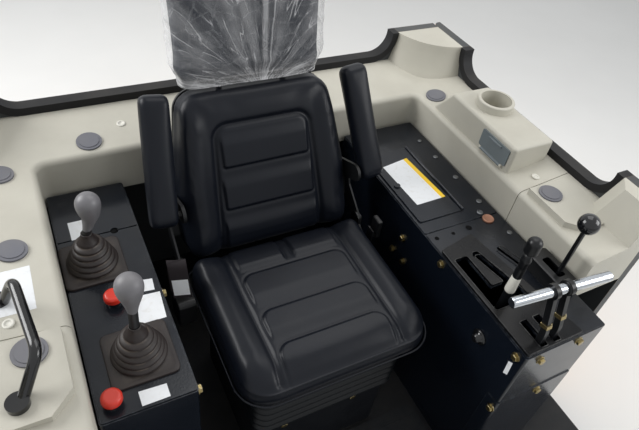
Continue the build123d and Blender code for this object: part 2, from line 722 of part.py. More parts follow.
with BuildPart() as ashtray_flap:
    flap_bottom = up(flap_height) + FLAP_KNUCKLE_R + 0.5
    flap_top = up(pocket_bottom + POCKET_HEIGHT) + FLAP_LAP
    with BuildSketch(Plane.YZ.offset(BOX_INNER - FLAP_CLEAR)):
        with Locations((flap_middle, (flap_bottom + flap_top) / 2)):
            RectangleRounded(POCKET_LENGTH + 2 * FLAP_LAP, flap_top - flap_bottom, 5)
    extrude(amount=-FLAP_THICK)
    with BuildSketch(Plane.XZ.offset(-flap_middle)):
        with Locations((BOX_INNER - FLAP_CLEAR - FLAP_THICK / 2, flap_bottom)):
            Rectangle(FLAP_THICK, 2 * FLAP_KNUCKLE_R)
        with Locations(flap_axis):
            Circle(FLAP_KNUCKLE_R)
    extrude(amount=POCKET_LENGTH / 2 - 4 - FLAP_LUG - FLAP_CLEAR, both=True)
    with BuildSketch(Plane.YZ.offset(BOX_INNER - FLAP_CLEAR - FLAP_THICK)):
        with Locations((flap_middle, flap_top - 8)):
            RectangleRounded(POCKET_LENGTH * 0.5, 5, 2)
    extrude(amount=-5)
    with Locations(Location((flap_axis[0], flap_middle, flap_axis[1]), (90, 0, 0))):
        Cylinder(FLAP_PIN_R + FLAP_PIN_GAP, POCKET_LENGTH, mode=Mode.SUBTRACT)
keep(ashtray_flap.part, "ashtray_flap")

with BuildPart() as grab_handle:
    with BuildLine() as handle_line:
        FilletPolyline(*[(x, y, up(height)) for x, y, height in HANDLE_PATH], radius=HANDLE_BEND_R)
    with BuildSketch(Plane(origin=handle_line.line @ 0, z_dir=handle_line.line % 0)):
        Circle(HANDLE_R)
    sweep()
    for x, y, height in (HANDLE_PATH[0], HANDLE_PATH[-1]):
        with Locations((x, y, up(height))):
            Cylinder(HANDLE_R + HANDLE_FOOT, HANDLE_FOOT_TALL)
    add(lining_solid, mode=Mode.SUBTRACT)
keep(grab_handle.part, "grab_handle")


# Consoles: folded boxes open below, with plates on their tops
def console_box(x_from, x_to, front):
    """A folded box from the floor to the underside of its cover plates."""
    width, length = x_to - x_from, CONSOLE_REAR - front
    tall = CONSOLE_TOP - CONSOLE_SHEET
    with BuildPart() as box:
        for inset in (0, CONSOLE_SHEET):
            with BuildSketch(Plane.XY.offset(FLOOR_TOP)):
                with Locations(((x_from + x_to) / 2, (front + CONSOLE_REAR) / 2)):
                    RectangleRounded(width - 2 * inset, length - 2 * inset, CONSOLE_FOLD_R - inset)
            extrude(amount=tall - inset, mode=Mode.SUBTRACT if inset else Mode.ADD)
    return box.part


def plate_sketch(x_from, x_to, y_from, y_to, height, corner=4.0):
    """A rounded rectangle between two corners, at a height above the floor."""
    with BuildSketch(Plane.XY.offset(up(height))) as plate:
        with Locations(((x_from + x_to) / 2, (y_from + y_to) / 2)):
            RectangleRounded(x_to - x_from, y_to - y_from, corner)
    return plate.sketch


with BuildPart() as console_right:
    add(console_box(-RIGHT_OUTER, -RIGHT_INNER, RIGHT_FRONT))
    for lever, boot, x, y, knob, shift in BOOT_LEVERS:
        with Locations((x, y, up(CONSOLE_TOP))):
            Cylinder(BOOT_INSIDE_R, 4 * CONSOLE_SHEET, mode=Mode.SUBTRACT)
keep(console_right.part, "console_right")

with BuildPart() as console_right_cover:
    x_from, x_to = -RIGHT_OUTER + COVER_SET, -RIGHT_INNER - COVER_SET
    half_joint = COVER_JOINT / 2
    foot = CONSOLE_TOP - CONSOLE_SHEET
    front_plate = plate_sketch(x_from, x_to, RIGHT_FRONT + COVER_SET, RIGHT_JOINT_Y - half_joint, foot)
    rear_plate = plate_sketch(x_from, x_to, RIGHT_JOINT_Y + half_joint, CONSOLE_REAR - COVER_SET, foot)
    extrude(front_plate, amount=CONSOLE_SHEET)
    extrude(rear_plate, amount=CONSOLE_SHEET)
    for lever, boot, x, y, knob, shift in BOOT_LEVERS:
        with Locations((x, y, up(CONSOLE_TOP))):
            Cylinder(BOOT_INSIDE_R, 4 * CONSOLE_SHEET, mode=Mode.SUBTRACT)
    with Locations((COVER_HOLE_X, RIGHT_JOINT_Y, up(CONSOLE_TOP))):
        Cylinder(COVER_HOLE_R, 4 * CONSOLE_SHEET, mode=Mode.SUBTRACT)
    with Locations(*[(x, y, up(CONSOLE_TOP)) for x, y in BUTTONS]):
        Cylinder(BUTTON_FOOT_R, BUTTON_FOOT, align=STANDING)
keep(console_right_cover.part, "console_right_cover")

with BuildPart() as stop_buttons:
    with Locations(*[(x, y, up(CONSOLE_TOP) + BUTTON_FOOT) for x, y in BUTTONS]):
        Cylinder(BUTTON_R, BUTTON_RIM + BUTTON_DOME, align=STANDING)
    fillet(stop_buttons.edges().group_by(Axis.Z)[-1], radius=BUTTON_DOME - 1)
keep(stop_buttons.part, "stop_buttons")

for lever, boot, x, y, knob, shift in BOOT_LEVERS:
    with BuildPart() as lever_part:
        pivot = Location((x, y, up(LEVER_PIVOT)), (0, 90, 0))
        with Locations(pivot):
            Cylinder(BOSS_R, BOSS_WIDTH)
        with Locations((x, y, up(LEVER_PIVOT))):
            Cylinder(LEVER_R, LEVER_BEND - LEVER_PIVOT, align=STANDING)
        bend = Vector(x, y, up(LEVER_BEND))
        top = Vector(x + shift, y, up(knob - KNOB_FOOT))
        with BuildSketch(Plane(origin=bend, z_dir=top - bend)):
            Circle(LEVER_R)
        extrude(amount=(top - bend).length)
        with Locations(bend):
            Sphere(LEVER_R)
        with BuildSketch(Plane(origin=(x + shift, y, up(knob)), x_dir=(1, 0, 0), z_dir=(0, -1, 0))):
            with BuildLine():
                ball = CenterArc((0, 0), KNOB_R, 90, -125)
                Spline(ball @ 1, (KNOB_FOOT_R, -KNOB_FOOT), tangents=(ball % 1, (0, -1)))
                Polyline((KNOB_FOOT_R, -KNOB_FOOT), (0, -KNOB_FOOT), (0, KNOB_R))
            make_face()
        revolve(axis=Axis((x + shift, y, 0), (0, 0, 1)))
        with Locations(pivot):
            Cylinder(SHAFT_R + SHAFT_GAP, 2 * BOSS_WIDTH, mode=Mode.SUBTRACT)
    keep(lever_part.part, lever)

    with BuildPart() as boot_part:
        with BuildSketch(Plane.XY.offset(up(CONSOLE_TOP))):
            with Locations((x, y)):
                RectangleRounded(BOOT_FLANGE, BOOT_FLANGE, BOOT_FLANGE_R)
        extrude(amount=BOOT_FLANGE_THICK)
        fillet(boot_part.edges().group_by(Axis.Z)[-1], radius=2)
        outside = [(BOOT_VALLEYS[0], 0.0)]
        for ring, (low, high) in enumerate(zip(BOOT_VALLEYS, BOOT_VALLEYS[1:])):
            base = BOOT_FLANGE_THICK + ring * BOOT_RING_PITCH
            crest = (low + high) / 2 + BOOT_RING_BULGE
            outside += [(low, base), (crest, base + 4), (crest - 1, base + BOOT_RING_PITCH - 4)]
        ring_top = BOOT_FLANGE_THICK + (len(BOOT_VALLEYS) - 1) * BOOT_RING_PITCH
        outside += [(BOOT_VALLEYS[-1], ring_top), (BOOT_NECK_R, ring_top + 5)]
        inside = [(r - BOOT_SKIN, z) for r, z in outside if r > BOOT_NECK_R]
        inside[0] = (inside[1][0], 0.0)
        hole = LEVER_R + BOOT_GAP
        neck_top = ring_top + 5 + BOOT_NECK_LENGTH
        outside += [(BOOT_NECK_R, neck_top), (hole, neck_top), (hole, ring_top + 2)]
        with BuildSketch(Plane(origin=(x, y, up(CONSOLE_TOP)), x_dir=(1, 0, 0), z_dir=(0, -1, 0))):
            with BuildLine():
                Polyline(*outside, *reversed(inside), close=True)
            make_face()
        revolve(axis=Axis((x, y, 0), (0, 0, 1)))
        with Locations((x, y, up(CONSOLE_TOP))):
            Cylinder(BOOT_INSIDE_R, 12, mode=Mode.SUBTRACT)
    keep(boot_part.part, boot)

with BuildPart() as lever_brackets_right:
    under = up(CONSOLE_TOP) - 2 * CONSOLE_SHEET
    for lever, boot, x, y, knob, shift in BOOT_LEVERS:
        for side in (1, -1):
            with Locations((x + side * (CHEEK_REACH + CHEEK_THICK / 2), y, under)):
                Box(CHEEK_THICK, CHEEK_LENGTH, CONSOLE_TOP - LEVER_PIVOT + CHEEK_BELOW, align=HUNG)
            collar_x = x + side * (BOSS_WIDTH / 2 + COLLAR_GAP + COLLAR_THICK / 2)
            with Locations(Location((collar_x, y, up(LEVER_PIVOT)), (0, 90, 0))):
                Cylinder(COLLAR_R, COLLAR_THICK)
        with Locations(Location((x, y, up(LEVER_PIVOT)), (0, 90, 0))):
            Cylinder(SHAFT_R, 2 * (CHEEK_REACH + CHEEK_THICK))
keep(lever_brackets_right.part, "lever_brackets_right")

# Left console: the box with its openings, cover plates, gate and tray
lid_axis = (LID_AXIS_X, up(CONSOLE_TOP) + LID_AXIS_OFF)
lid_middle = (LID_FRONT + LID_REAR) / 2
lid_length = LID_REAR - LID_FRONT
tray_from, tray_to = LID_INNER + TRAY_MARGIN, LID_AXIS_X - TRAY_MARGIN - 4
tray_front, tray_rear = LID_FRONT + TRAY_MARGIN, LID_REAR - TRAY_MARGIN


def bar_sketch(start, end, width):
    """A slot with round ends between two points, drawn in the sketch at hand."""
    long = hypot(end[0] - start[0], end[1] - start[1])
    turn = degrees(atan2(end[1] - start[1], end[0] - start[0]))
    with Locations(Location(((start[0] + end[0]) / 2, (start[1] + end[1]) / 2), turn)):
        SlotCenterToCenter(long, width)


with BuildSketch() as lever_slots:
    with Locations((SLOT_INNER + SLOT_WIDTH / 2, (SLOT_FRONT + SLOT_REAR) / 2)):
        RectangleRounded(SLOT_WIDTH, SLOT_REAR - SLOT_FRONT, SLOT_CORNER_R)
    bar_sketch(*SECOND_SLOT, SECOND_SLOT_WIDTH)
    with Locations(((SLOT_INNER + CROSS_OUTER) / 2, (SLOT_FRONT + CROSS_REAR) / 2)):
        RectangleRounded(CROSS_OUTER - SLOT_INNER, CROSS_REAR - SLOT_FRONT, SLOT_CORNER_R)

with BuildSketch() as steer_slots:
    with Locations(*[(x, sum(STEER_SLOT) / 2) for x in STEER_ARMS]):
        RectangleRounded(STEER_ARM_THICK + 2 * STEER_CLEAR, STEER_SLOT[1] - STEER_SLOT[0], 4)

with BuildSketch() as throttle_slot:
    with Locations((THROTTLE_X, sum(THROTTLE_SLOT) / 2)):
        RectangleRounded(THROTTLE_SLOT_WIDTH, THROTTLE_SLOT[1] - THROTTLE_SLOT[0], 6)

with BuildSketch() as left_openings:
    add(lever_slots.sketch)
    add(steer_slots.sketch)
    add(throttle_slot.sketch)
    bar_sketch(*SIDE_SLOT, SIDE_SLOT_WIDTH)
    with Locations(((tray_from + tray_to) / 2, (tray_front + tray_rear) / 2)):
        RectangleRounded(tray_to - tray_from, tray_rear - tray_front, TRAY_CORNER_R)

with BuildPart() as console_left:
    add(console_box(LEFT_INNER, LEFT_OUTER, LEFT_FRONT))
    extrude(raised(left_openings.sketch, CONSOLE_TOP - CUT_REACH / 2), amount=CUT_REACH, mode=Mode.SUBTRACT)
keep(console_left.part, "console_left")

with BuildPart() as console_left_front:
    with BuildSketch(Plane.XY.offset(up(FRONT_COVER_FOOT))) as front_cover:
        x_from, x_to = LEFT_INNER - CONSOLE_SHEET, LEFT_OUTER - FRONT_COVER_SET
        y_from, y_to = LEFT_FRONT - CONSOLE_SHEET, LEFT_FRONT + FRONT_COVER_SIDE
        with Locations(((x_from + x_to) / 2, (y_from + y_to) / 2)):
            Rectangle(x_to - x_from, y_to - y_from)
        front_corner = front_cover.vertices().sort_by(Axis.X)[:2].sort_by(Axis.Y)[0]
        fillet(front_corner, radius=CONSOLE_FOLD_R + CONSOLE_SHEET)
        with Locations(((LEFT_INNER + LEFT_OUTER) / 2, (LEFT_FRONT + CONSOLE_REAR) / 2)):
            wide, long = LEFT_OUTER - LEFT_INNER, CONSOLE_REAR - LEFT_FRONT
            RectangleRounded(wide, long, CONSOLE_FOLD_R, mode=Mode.SUBTRACT)
    extrude(amount=FRONT_COVER_TOP - FRONT_COVER_FOOT)
keep(console_left_front.part, "console_left_front")

with BuildPart() as console_left_cover:
    x_from, x_to = LEFT_INNER + COVER_SET, LEFT_OUTER - COVER_SET
    foot = CONSOLE_TOP - CONSOLE_SHEET
    front_plate = plate_sketch(x_from, x_to, LEFT_FRONT + COVER_SET, LEFT_JOINT_Y - half_joint, foot)
    rear_plate = plate_sketch(x_from, x_to, LEFT_JOINT_Y + half_joint, CONSOLE_REAR - COVER_SET, foot)
    extrude(front_plate, amount=CONSOLE_SHEET)
    extrude(rear_plate, amount=CONSOLE_SHEET)
    extrude(raised(left_openings.sketch, CONSOLE_TOP - CUT_REACH / 2), amount=CUT_REACH, mode=Mode.SUBTRACT)
    knuckle = lid_length / LID_KNUCKLES
    for place in range(0, LID_KNUCKLES, 2):
        with BuildSketch(Plane.XZ.offset(-(LID_FRONT + place * knuckle))):
            with Locations(lid_axis):
                Circle(LID_KNUCKLE_R)
            with Locations((lid_axis[0] + 1, up(CONSOLE_TOP) + LID_AXIS_OFF / 2)):
                Rectangle(2 * LID_KNUCKLE_R - 2, LID_AXIS_OFF)
        extrude(amount=-knuckle)
    with Locations(Location((lid_axis[0], lid_middle, lid_axis[1]), (90, 0, 0))):
        Cylinder(LID_PIN_R, lid_length - 4)
keep(console_left_cover.part, "console_left_cover")

with BuildPart() as storage_lid:
    lid_edge = LID_AXIS_X - 2
    with BuildSketch(Plane.XY.offset(up(CONSOLE_TOP) + LID_GAP)):
        with Locations(((LID_INNER + lid_edge) / 2, lid_middle)):
            Rectangle(lid_edge - LID_INNER, lid_length)
    extrude(amount=LID_THICK)
    fillet(storage_lid.edges().filter_by(Axis.Z).group_by(Axis.X)[0], radius=LID_CORNER_R)
    for place in range(0, LID_KNUCKLES, 2):
        with Locations((LID_AXIS_X, LID_FRONT + (place + 0.5) * knuckle, lid_axis[1])):
            Box(2 * LID_KNUCKLE_R + 2, knuckle + 2 * FLAP_CLEAR, 20, mode=Mode.SUBTRACT)
    for place in range(1, LID_KNUCKLES, 2):
        with Locations(Location((LID_AXIS_X, LID_FRONT + (place + 0.5) * knuckle, lid_axis[1]), (90, 0, 0))):
            Cylinder(LID_KNUCKLE_R, knuckle - 2 * FLAP_CLEAR)
    with Locations(Location((LID_AXIS_X, lid_middle, lid_axis[1]), (90, 0, 0))):
        Cylinder(LID_PIN_R + LID_PIN_GAP, 2 * lid_length, mode=Mode.SUBTRACT)
    with Locations((LID_INNER + LID_PULL[0], lid_middle, up(CONSOLE_TOP) + LID_GAP + LID_THICK)):
        Cylinder(*LID_PULL[1:], align=STANDING)
keep(storage_lid.part, "storage_lid")

with BuildPart() as storage_tray:
    tall = CONSOLE_TOP - 2 * CONSOLE_SHEET - TRAY_BOTTOM
    for inset in (-CONSOLE_SHEET, 0):
        with BuildSketch(Plane.XY.offset(up(TRAY_BOTTOM) + CONSOLE_SHEET + inset)):
            with Locations(((tray_from + tray_to) / 2, (tray_front + tray_rear) / 2)):
                wide, long = tray_to - tray_from - 2 * inset, tray_rear - tray_front - 2 * inset
                RectangleRounded(wide, long, TRAY_CORNER_R - inset)
        extrude(amount=tall - CONSOLE_SHEET - inset, mode=Mode.ADD if inset else Mode.SUBTRACT)
keep(storage_tray.part, "storage_tray")

with BuildPart() as gate_plate:
    with BuildSketch(Plane.XY.offset(up(CONSOLE_TOP))):
        with BuildLine():
            Polyline(*GATE_OUTLINE, close=True)
        make_face()
    extrude(amount=GATE_THICK)
    fillet(gate_plate.edges().filter_by(Axis.Z), radius=GATE_CORNER_R)
    fillet(gate_plate.edges().group_by(Axis.Z)[-1], radius=GATE_EDGE_R)
    for opening in (lever_slots, steer_slots):
        extrude(raised(opening.sketch, CONSOLE_TOP - 5), amount=CUT_REACH, mode=Mode.SUBTRACT)
keep(gate_plate.part, "gate_plate")

with BuildPart() as throttle_block:
    block_middle = ((BLOCK_FROM[0] + BLOCK_TO[0]) / 2, (BLOCK_FROM[1] + BLOCK_TO[1]) / 2)
    for inset in (0, BLOCK_WALL):
        with BuildSketch(Plane.XY.offset(up(CONSOLE_TOP))):
            with Locations(block_middle):
                wide, long = BLOCK_TO[0] - BLOCK_FROM[0] - 2 * inset, BLOCK_TO[1] - BLOCK_FROM[1] - 2 * inset
                RectangleRounded(wide, long, 9 - inset)
        extrude(amount=BLOCK_HEIGHT - inset, mode=Mode.SUBTRACT if inset else Mode.ADD)
        if not inset:
            fillet(throttle_block.edges().group_by(Axis.Z)[-1], radius=4)
    extrude(raised(throttle_slot.sketch, CONSOLE_TOP + 10), amount=BLOCK_HEIGHT + 18, mode=Mode.SUBTRACT)
keep(throttle_block.part, "throttle_block")


def along_x(x, y, height):
    """A place with its own Z along X."""
    return Location((x, y, up(height)), (0, 90, 0))


def along_y(x, y, height):
    """A place with its own Z along Y."""
    return Location((x, y, up(height)), (90, 0, 0))


with BuildPart() as gear_lever:
    with Locations(along_y(GEAR_X, GEAR_Y, GEAR_PIVOT)):
        Cylinder(GEAR_BOSS_R, GEAR_BOSS_WIDTH)
    with Locations((GEAR_X, GEAR_Y, up(GEAR_PIVOT))):
        Cylinder(GEAR_R, GEAR_KNOB - GEAR_PIVOT - GEAR_KNOB_FOOT, align=STANDING)
        Cylinder(GEAR_R + GEAR_SLEEVE_WALL, GEAR_SLEEVE_TALL, align=STANDING)
    with Locations(along_y(GEAR_X, GEAR_Y, GEAR_PIVOT)):
        Cylinder(GEAR_SHAFT_R + SHAFT_GAP, 60, mode=Mode.SUBTRACT)
keep(gear_lever.part, "gear_lever")

with BuildPart() as gear_knob:
    with Locations((GEAR_X, GEAR_Y, up(GEAR_KNOB) - GEAR_KNOB_FOOT)):
        Cylinder(GEAR_KNOB_R, GEAR_KNOB_TALL, align=STANDING)
    fillet(gear_knob.edges().group_by(Axis.Z)[-1], radius=GEAR_KNOB_R - 2)
    fillet(gear_knob.edges().group_by(Axis.Z)[0], radius=5)
keep(gear_knob.part, "gear_knob")

with BuildPart() as throttle_lever:
    with Locations(along_x(THROTTLE_X, THROTTLE_Y, THROTTLE_PIVOT)):
        Cylinder(THROTTLE_BOSS_R, THROTTLE_BOSS_WIDTH)
    with Locations((THROTTLE_X, THROTTLE_Y, up(THROTTLE_PIVOT))):
        Cylinder(THROTTLE_R, THROTTLE_KNOB - THROTTLE_PIVOT, align=STANDING)
    with Locations((THROTTLE_X, THROTTLE_Y, up(THROTTLE_KNOB))):
        Sphere(THROTTLE_KNOB_R)
    with Locations(along_x(THROTTLE_X, THROTTLE_Y, THROTTLE_PIVOT)):
        Cylinder(THROTTLE_SHAFT_R + SHAFT_GAP, 60, mode=Mode.SUBTRACT)
keep(throttle_lever.part, "throttle_lever")

bar_from, bar_to = Vector(*STEER_BAR_FROM, up(STEER_BAR)), Vector(*STEER_BAR_TO, up(STEER_BAR))
with BuildPart() as steer_bar:
    with BuildSketch(Plane(origin=bar_from, z_dir=bar_to - bar_from)):
        Circle(STEER_BAR_R)
    extrude(amount=(bar_to - bar_from).length)
    fillet(steer_bar.edges().filter_by(GeomType.CIRCLE), radius=3)
keep(steer_bar.part, "steer_bar")

with BuildPart() as steer_arms:
    for x in STEER_ARMS:
        share = (x - bar_from.X) / (bar_to.X - bar_from.X)
        with BuildSketch(Plane.YZ.offset(x - STEER_ARM_THICK / 2)):
            with BuildLine():
                FilletPolyline(*[(y, up(height)) for y, height in STEER_PATH], radius=STEER_BEND_R)
            trace(line_width=STEER_ARM_WIDTH)
            with Locations((bar_from.Y + share * (bar_to.Y - bar_from.Y), up(STEER_BAR))):
                Circle(STEER_EYE_R)
        extrude(amount=STEER_ARM_THICK)
        with Locations(along_x(x, *STEER_PATH[0])):
            Cylinder(STEER_BOSS_R, STEER_BOSS_WIDTH)
    with Locations(along_x(sum(STEER_ARMS) / 2, *STEER_PATH[0])):
        Cylinder(STEER_SHAFT_R + SHAFT_GAP, 200, mode=Mode.SUBTRACT)
    add(steer_bar.part, mode=Mode.SUBTRACT)
keep(steer_arms.part, "steer_arms")

with BuildPart() as lever_brackets_left:
    under = CONSOLE_TOP - 2 * CONSOLE_SHEET
    for side in (1, -1):
        with BuildSketch(Plane.XZ.offset(-(GEAR_Y + side * 24 + 2.5))):
            with Locations((sum(GEAR_FRAME) / 2, up((under + GEAR_PIVOT - 24) / 2))):
                Rectangle(GEAR_FRAME[1] - GEAR_FRAME[0], under - GEAR_PIVOT + 24)
            with Locations((sum(GEAR_NOTCH) / 2, up(GEAR_PIVOT + 24) + 60)):
                RectangleRounded(GEAR_NOTCH[1] - GEAR_NOTCH[0], 120, 8, mode=Mode.SUBTRACT)
        extrude(amount=5)
        collar_y = GEAR_Y + side * (GEAR_BOSS_WIDTH / 2 + COLLAR_GAP + 2.5)
        with Locations(along_y(GEAR_X, collar_y, GEAR_PIVOT)):
            Cylinder(GEAR_SHAFT_R + 4, 5)
        with Locations((THROTTLE_X + side * 22, THROTTLE_Y, up(under))):
            Box(5, 34, under - THROTTLE_PIVOT + 16, align=HUNG)
        collar_x = THROTTLE_X + side * (THROTTLE_BOSS_WIDTH / 2 + COLLAR_GAP + 2)
        with Locations(along_x(collar_x, THROTTLE_Y, THROTTLE_PIVOT)):
            Cylinder(THROTTLE_SHAFT_R + 4, 4)
    with Locations(along_y(GEAR_X, GEAR_Y, GEAR_PIVOT)):
        Cylinder(GEAR_SHAFT_R, 52)
    with Locations(along_x(THROTTLE_X, THROTTLE_Y, THROTTLE_PIVOT)):
        Cylinder(THROTTLE_SHAFT_R, 48)
    steer_y, steer_height = STEER_PATH[0]
    for x in STEER_CHEEKS:
        with Locations((x, LEFT_FRONT + CONSOLE_SHEET, up(steer_height))):
            cheek_length = steer_y + STEER_CHEEK_REACH - LEFT_FRONT - CONSOLE_SHEET
            Box(STEER_CHEEK[0], cheek_length, STEER_CHEEK[1], align=(Align.CENTER, Align.MIN, Align.CENTER))
    for x in STEER_ARMS:
        for side in (1, -1):
            collar_x = x + side * (STEER_BOSS_WIDTH / 2 + COLLAR_GAP + 2)
            with Locations(along_x(collar_x, steer_y, steer_height)):
                Cylinder(STEER_SHAFT_R + 4, 4)
    with Locations(along_x(sum(STEER_CHEEKS) / 2, steer_y, steer_height)):
        Cylinder(STEER_SHAFT_R, STEER_CHEEKS[1] - STEER_CHEEKS[0] + 5)
keep(lever_brackets_left.part, "lever_brackets_left")

# Seat pedestal, its suspension inside a rubber bellows, and the fixed slide rails
seat_length = PEDESTAL_REAR - PEDESTAL_FRONT
seat_middle = (PEDESTAL_REAR + PEDESTAL_FRONT) / 2
with BuildPart() as seat_pedestal:
    for inset in (0, PEDESTAL_SHEET):
        with BuildSketch(Plane.XY.offset(FLOOR_TOP)):
            with Locations((0, seat_middle)):
                RectangleRounded(2 * PEDESTAL_HALF - 2 * inset, seat_length - 2 * inset, 20 - inset)
        extrude(amount=PEDESTAL_TOP - inset, mode=Mode.SUBTRACT if inset else Mode.ADD)
keep(seat_pedestal.part, "seat_pedestal")


def bellows_plan(height, grow):
    """The plan of the suspension's bellows at a height above the floor."""
    wide = 2 * (BELLOWS_HALF + grow)
    long = BELLOWS_REAR - BELLOWS_FRONT + 2 * grow
    with BuildSketch(Plane.XY.offset(up(height))) as plan:
        with Locations((0, (BELLOWS_REAR + BELLOWS_FRONT) / 2)):
            RectangleRounded(wide, long, BELLOWS_CORNER_R + grow)
    return plan.sketch


with BuildPart() as seat_bellows:
    fold = (BELLOWS_TOP - PEDESTAL_TOP) / BELLOWS_FOLDS
    for inset in (0, BELLOWS_SKIN):
        plans = []
        for place in range(2 * BELLOWS_FOLDS + 1):
            grow = (BELLOWS_FOLD_DEPTH if place % 2 else 0) - inset
            plans.append(bellows_plan(PEDESTAL_TOP + place * fold / 2, grow))
        loft(plans, ruled=True, mode=Mode.SUBTRACT if inset else Mode.ADD)
keep(seat_bellows.part, "seat_bellows")

with BuildPart() as seat_rails:
    with BuildSketch(Plane.XY.offset(up(BELLOWS_TOP))):
        with Locations((0, (BELLOWS_REAR + BELLOWS_FRONT) / 2)):
            RectangleRounded(2 * BELLOWS_HALF, BELLOWS_REAR - BELLOWS_FRONT, BELLOWS_CORNER_R)
    extrude(amount=SUSPENSION_PLATE)
    rail_foot = BELLOWS_TOP + SUSPENSION_PLATE
    with BuildSketch(Plane.XZ.offset(SEAT_RAIL_LENGTH / 2)):
        for side in (1, -1):
            with Locations((side * SEAT_RAIL_X, up((rail_foot + SEAT_RAIL_TOP) / 2))):
                Rectangle(SEAT_RAIL_STEM, SEAT_RAIL_TOP - rail_foot)
            with Locations((side * SEAT_RAIL_X, up(SEAT_RAIL_TOP - SEAT_RAIL_HEAD_THICK / 2))):
                Rectangle(SEAT_RAIL_HEAD, SEAT_RAIL_HEAD_THICK)
    extrude(amount=-SEAT_RAIL_LENGTH)
keep(seat_rails.part, "seat_rails")

with BuildPart() as suspension_links:
    link_low, link_high = PEDESTAL_TOP, BELLOWS_TOP
    wider, plate_long, plate_thick = SCISSOR_PLATE
    for place in (link_low + plate_thick / 2, link_high - plate_thick / 2):
        with Locations((0, 0, up(place))):
            Box(2 * SCISSOR_X + wider, plate_long, plate_thick)
    rise, run = link_high - link_low - 2 * SCISSOR_BAR[1] + 2, SCISSOR_RUN
    lean = degrees(atan2(rise, run))
    for side in (1, -1):
        for turn, offset in ((lean, 0), (-lean, SCISSOR_BAR[0])):
            spot = Location((side * (SCISSOR_X - offset), 0, up((link_low + link_high) / 2)), (turn, 0, 0))
            with Locations(spot):
                Box(SCISSOR_BAR[0], hypot(rise, run) + SCISSOR_BAR[1], SCISSOR_BAR[1])
    with Locations(along_x(0, 0, (link_low + link_high) / 2)):
        Cylinder(SCISSOR_PIN_R, 2 * SCISSOR_X)
keep(suspension_links.part, "suspension_links")

# Seat pan on its sliders, with the recliner's lower plates and pins
slider_foot = rail_foot + 3
with BuildPart() as seat_pan:
    for inset in (0, PAN_SHEET):
        with BuildSketch(Plane.XY.offset(up(PAN_TOP - PAN_DEPTH))):
            with Locations((0, (CUSHION_FRONT + CUSHION_REAR) / 2)):
                long = CUSHION_REAR - CUSHION_FRONT - 2 * PAN_MARGIN
                RectangleRounded(2 * (PAN_HALF - inset), long - 2 * inset, PAN_CORNER_R - inset)
        extrude(amount=PAN_DEPTH - inset, mode=Mode.SUBTRACT if inset else Mode.ADD)
    with BuildSketch(Plane.XZ.offset(SLIDER_LENGTH / 2)):
        for side in (1, -1):
            with Locations((side * SEAT_RAIL_X, up((slider_foot + PAN_TOP - PAN_SHEET) / 2))):
                Rectangle(SLIDER_WIDTH, PAN_TOP - PAN_SHEET - slider_foot)
            head_foot = SEAT_RAIL_TOP - SEAT_RAIL_HEAD_THICK
            with Locations((side * SEAT_RAIL_X, up((head_foot + SEAT_RAIL_TOP) / 2))):
                wide, tall = SEAT_RAIL_HEAD + 2 * SLIDER_CLEAR, SEAT_RAIL_HEAD_THICK + 2 * SLIDER_CLEAR
                Rectangle(wide, tall, mode=Mode.SUBTRACT)
            with Locations((side * SEAT_RAIL_X, up((slider_foot + head_foot) / 2))):
                Rectangle(SEAT_RAIL_STEM + 2 * SLIDER_CLEAR, head_foot - slider_foot + 1, mode=Mode.SUBTRACT)
    extrude(amount=-SLIDER_LENGTH)
    for side in (1, -1):
        with BuildSketch(Plane.YZ.offset(side * HINGE_PLATE_X)):
            with Locations((HINGE_Y, up(HINGE_HEIGHT))):
                Circle(HINGE_PLATE_R)
            with BuildLine():
                Polyline(
                    (HINGE_Y + HINGE_PLATE_R, up(HINGE_HEIGHT)),
                    (HINGE_Y + 10, up(PAN_TOP - PAN_DEPTH)),
                    (HINGE_Y - HINGE_PLATE_REACH, up(PAN_TOP - PAN_DEPTH)),
                    (HINGE_Y - HINGE_PLATE_REACH, up(PAN_TOP - 6)),
                    (HINGE_Y - HINGE_PLATE_R, up(HINGE_HEIGHT)),
                    close=True,
                )
            make_face()
        extrude(amount=side * HINGE_PLATE)
        with Locations((side * (PAN_HALF - PAN_SHEET), HINGE_Y - HINGE_FOOT_SET, up(PAN_TOP - PAN_DEPTH))):
            wide = (Align.MIN if side > 0 else Align.MAX, Align.CENTER, Align.MIN)
            Box(HINGE_PLATE_X + PAN_SHEET + 1 - PAN_HALF, HINGE_FOOT_LENGTH, HINGE_FOOT_THICK, align=wide)
        pin_reach = 2 * HINGE_PLATE + 2 * HINGE_PIN_HEAD
        with Locations(along_x(side * (HINGE_PLATE_X + pin_reach / 2), HINGE_Y, HINGE_HEIGHT)):
            Cylinder(HINGE_PIN_R, pin_reach)
        pin_head_x = HINGE_PLATE_X + pin_reach - HINGE_PIN_HEAD / 2
        with Locations(along_x(side * pin_head_x, HINGE_Y, HINGE_HEIGHT)):
            Cylinder(HINGE_PIN_R + HINGE_PIN_HEAD, HINGE_PIN_HEAD)
keep(seat_pan.part, "seat_pan")

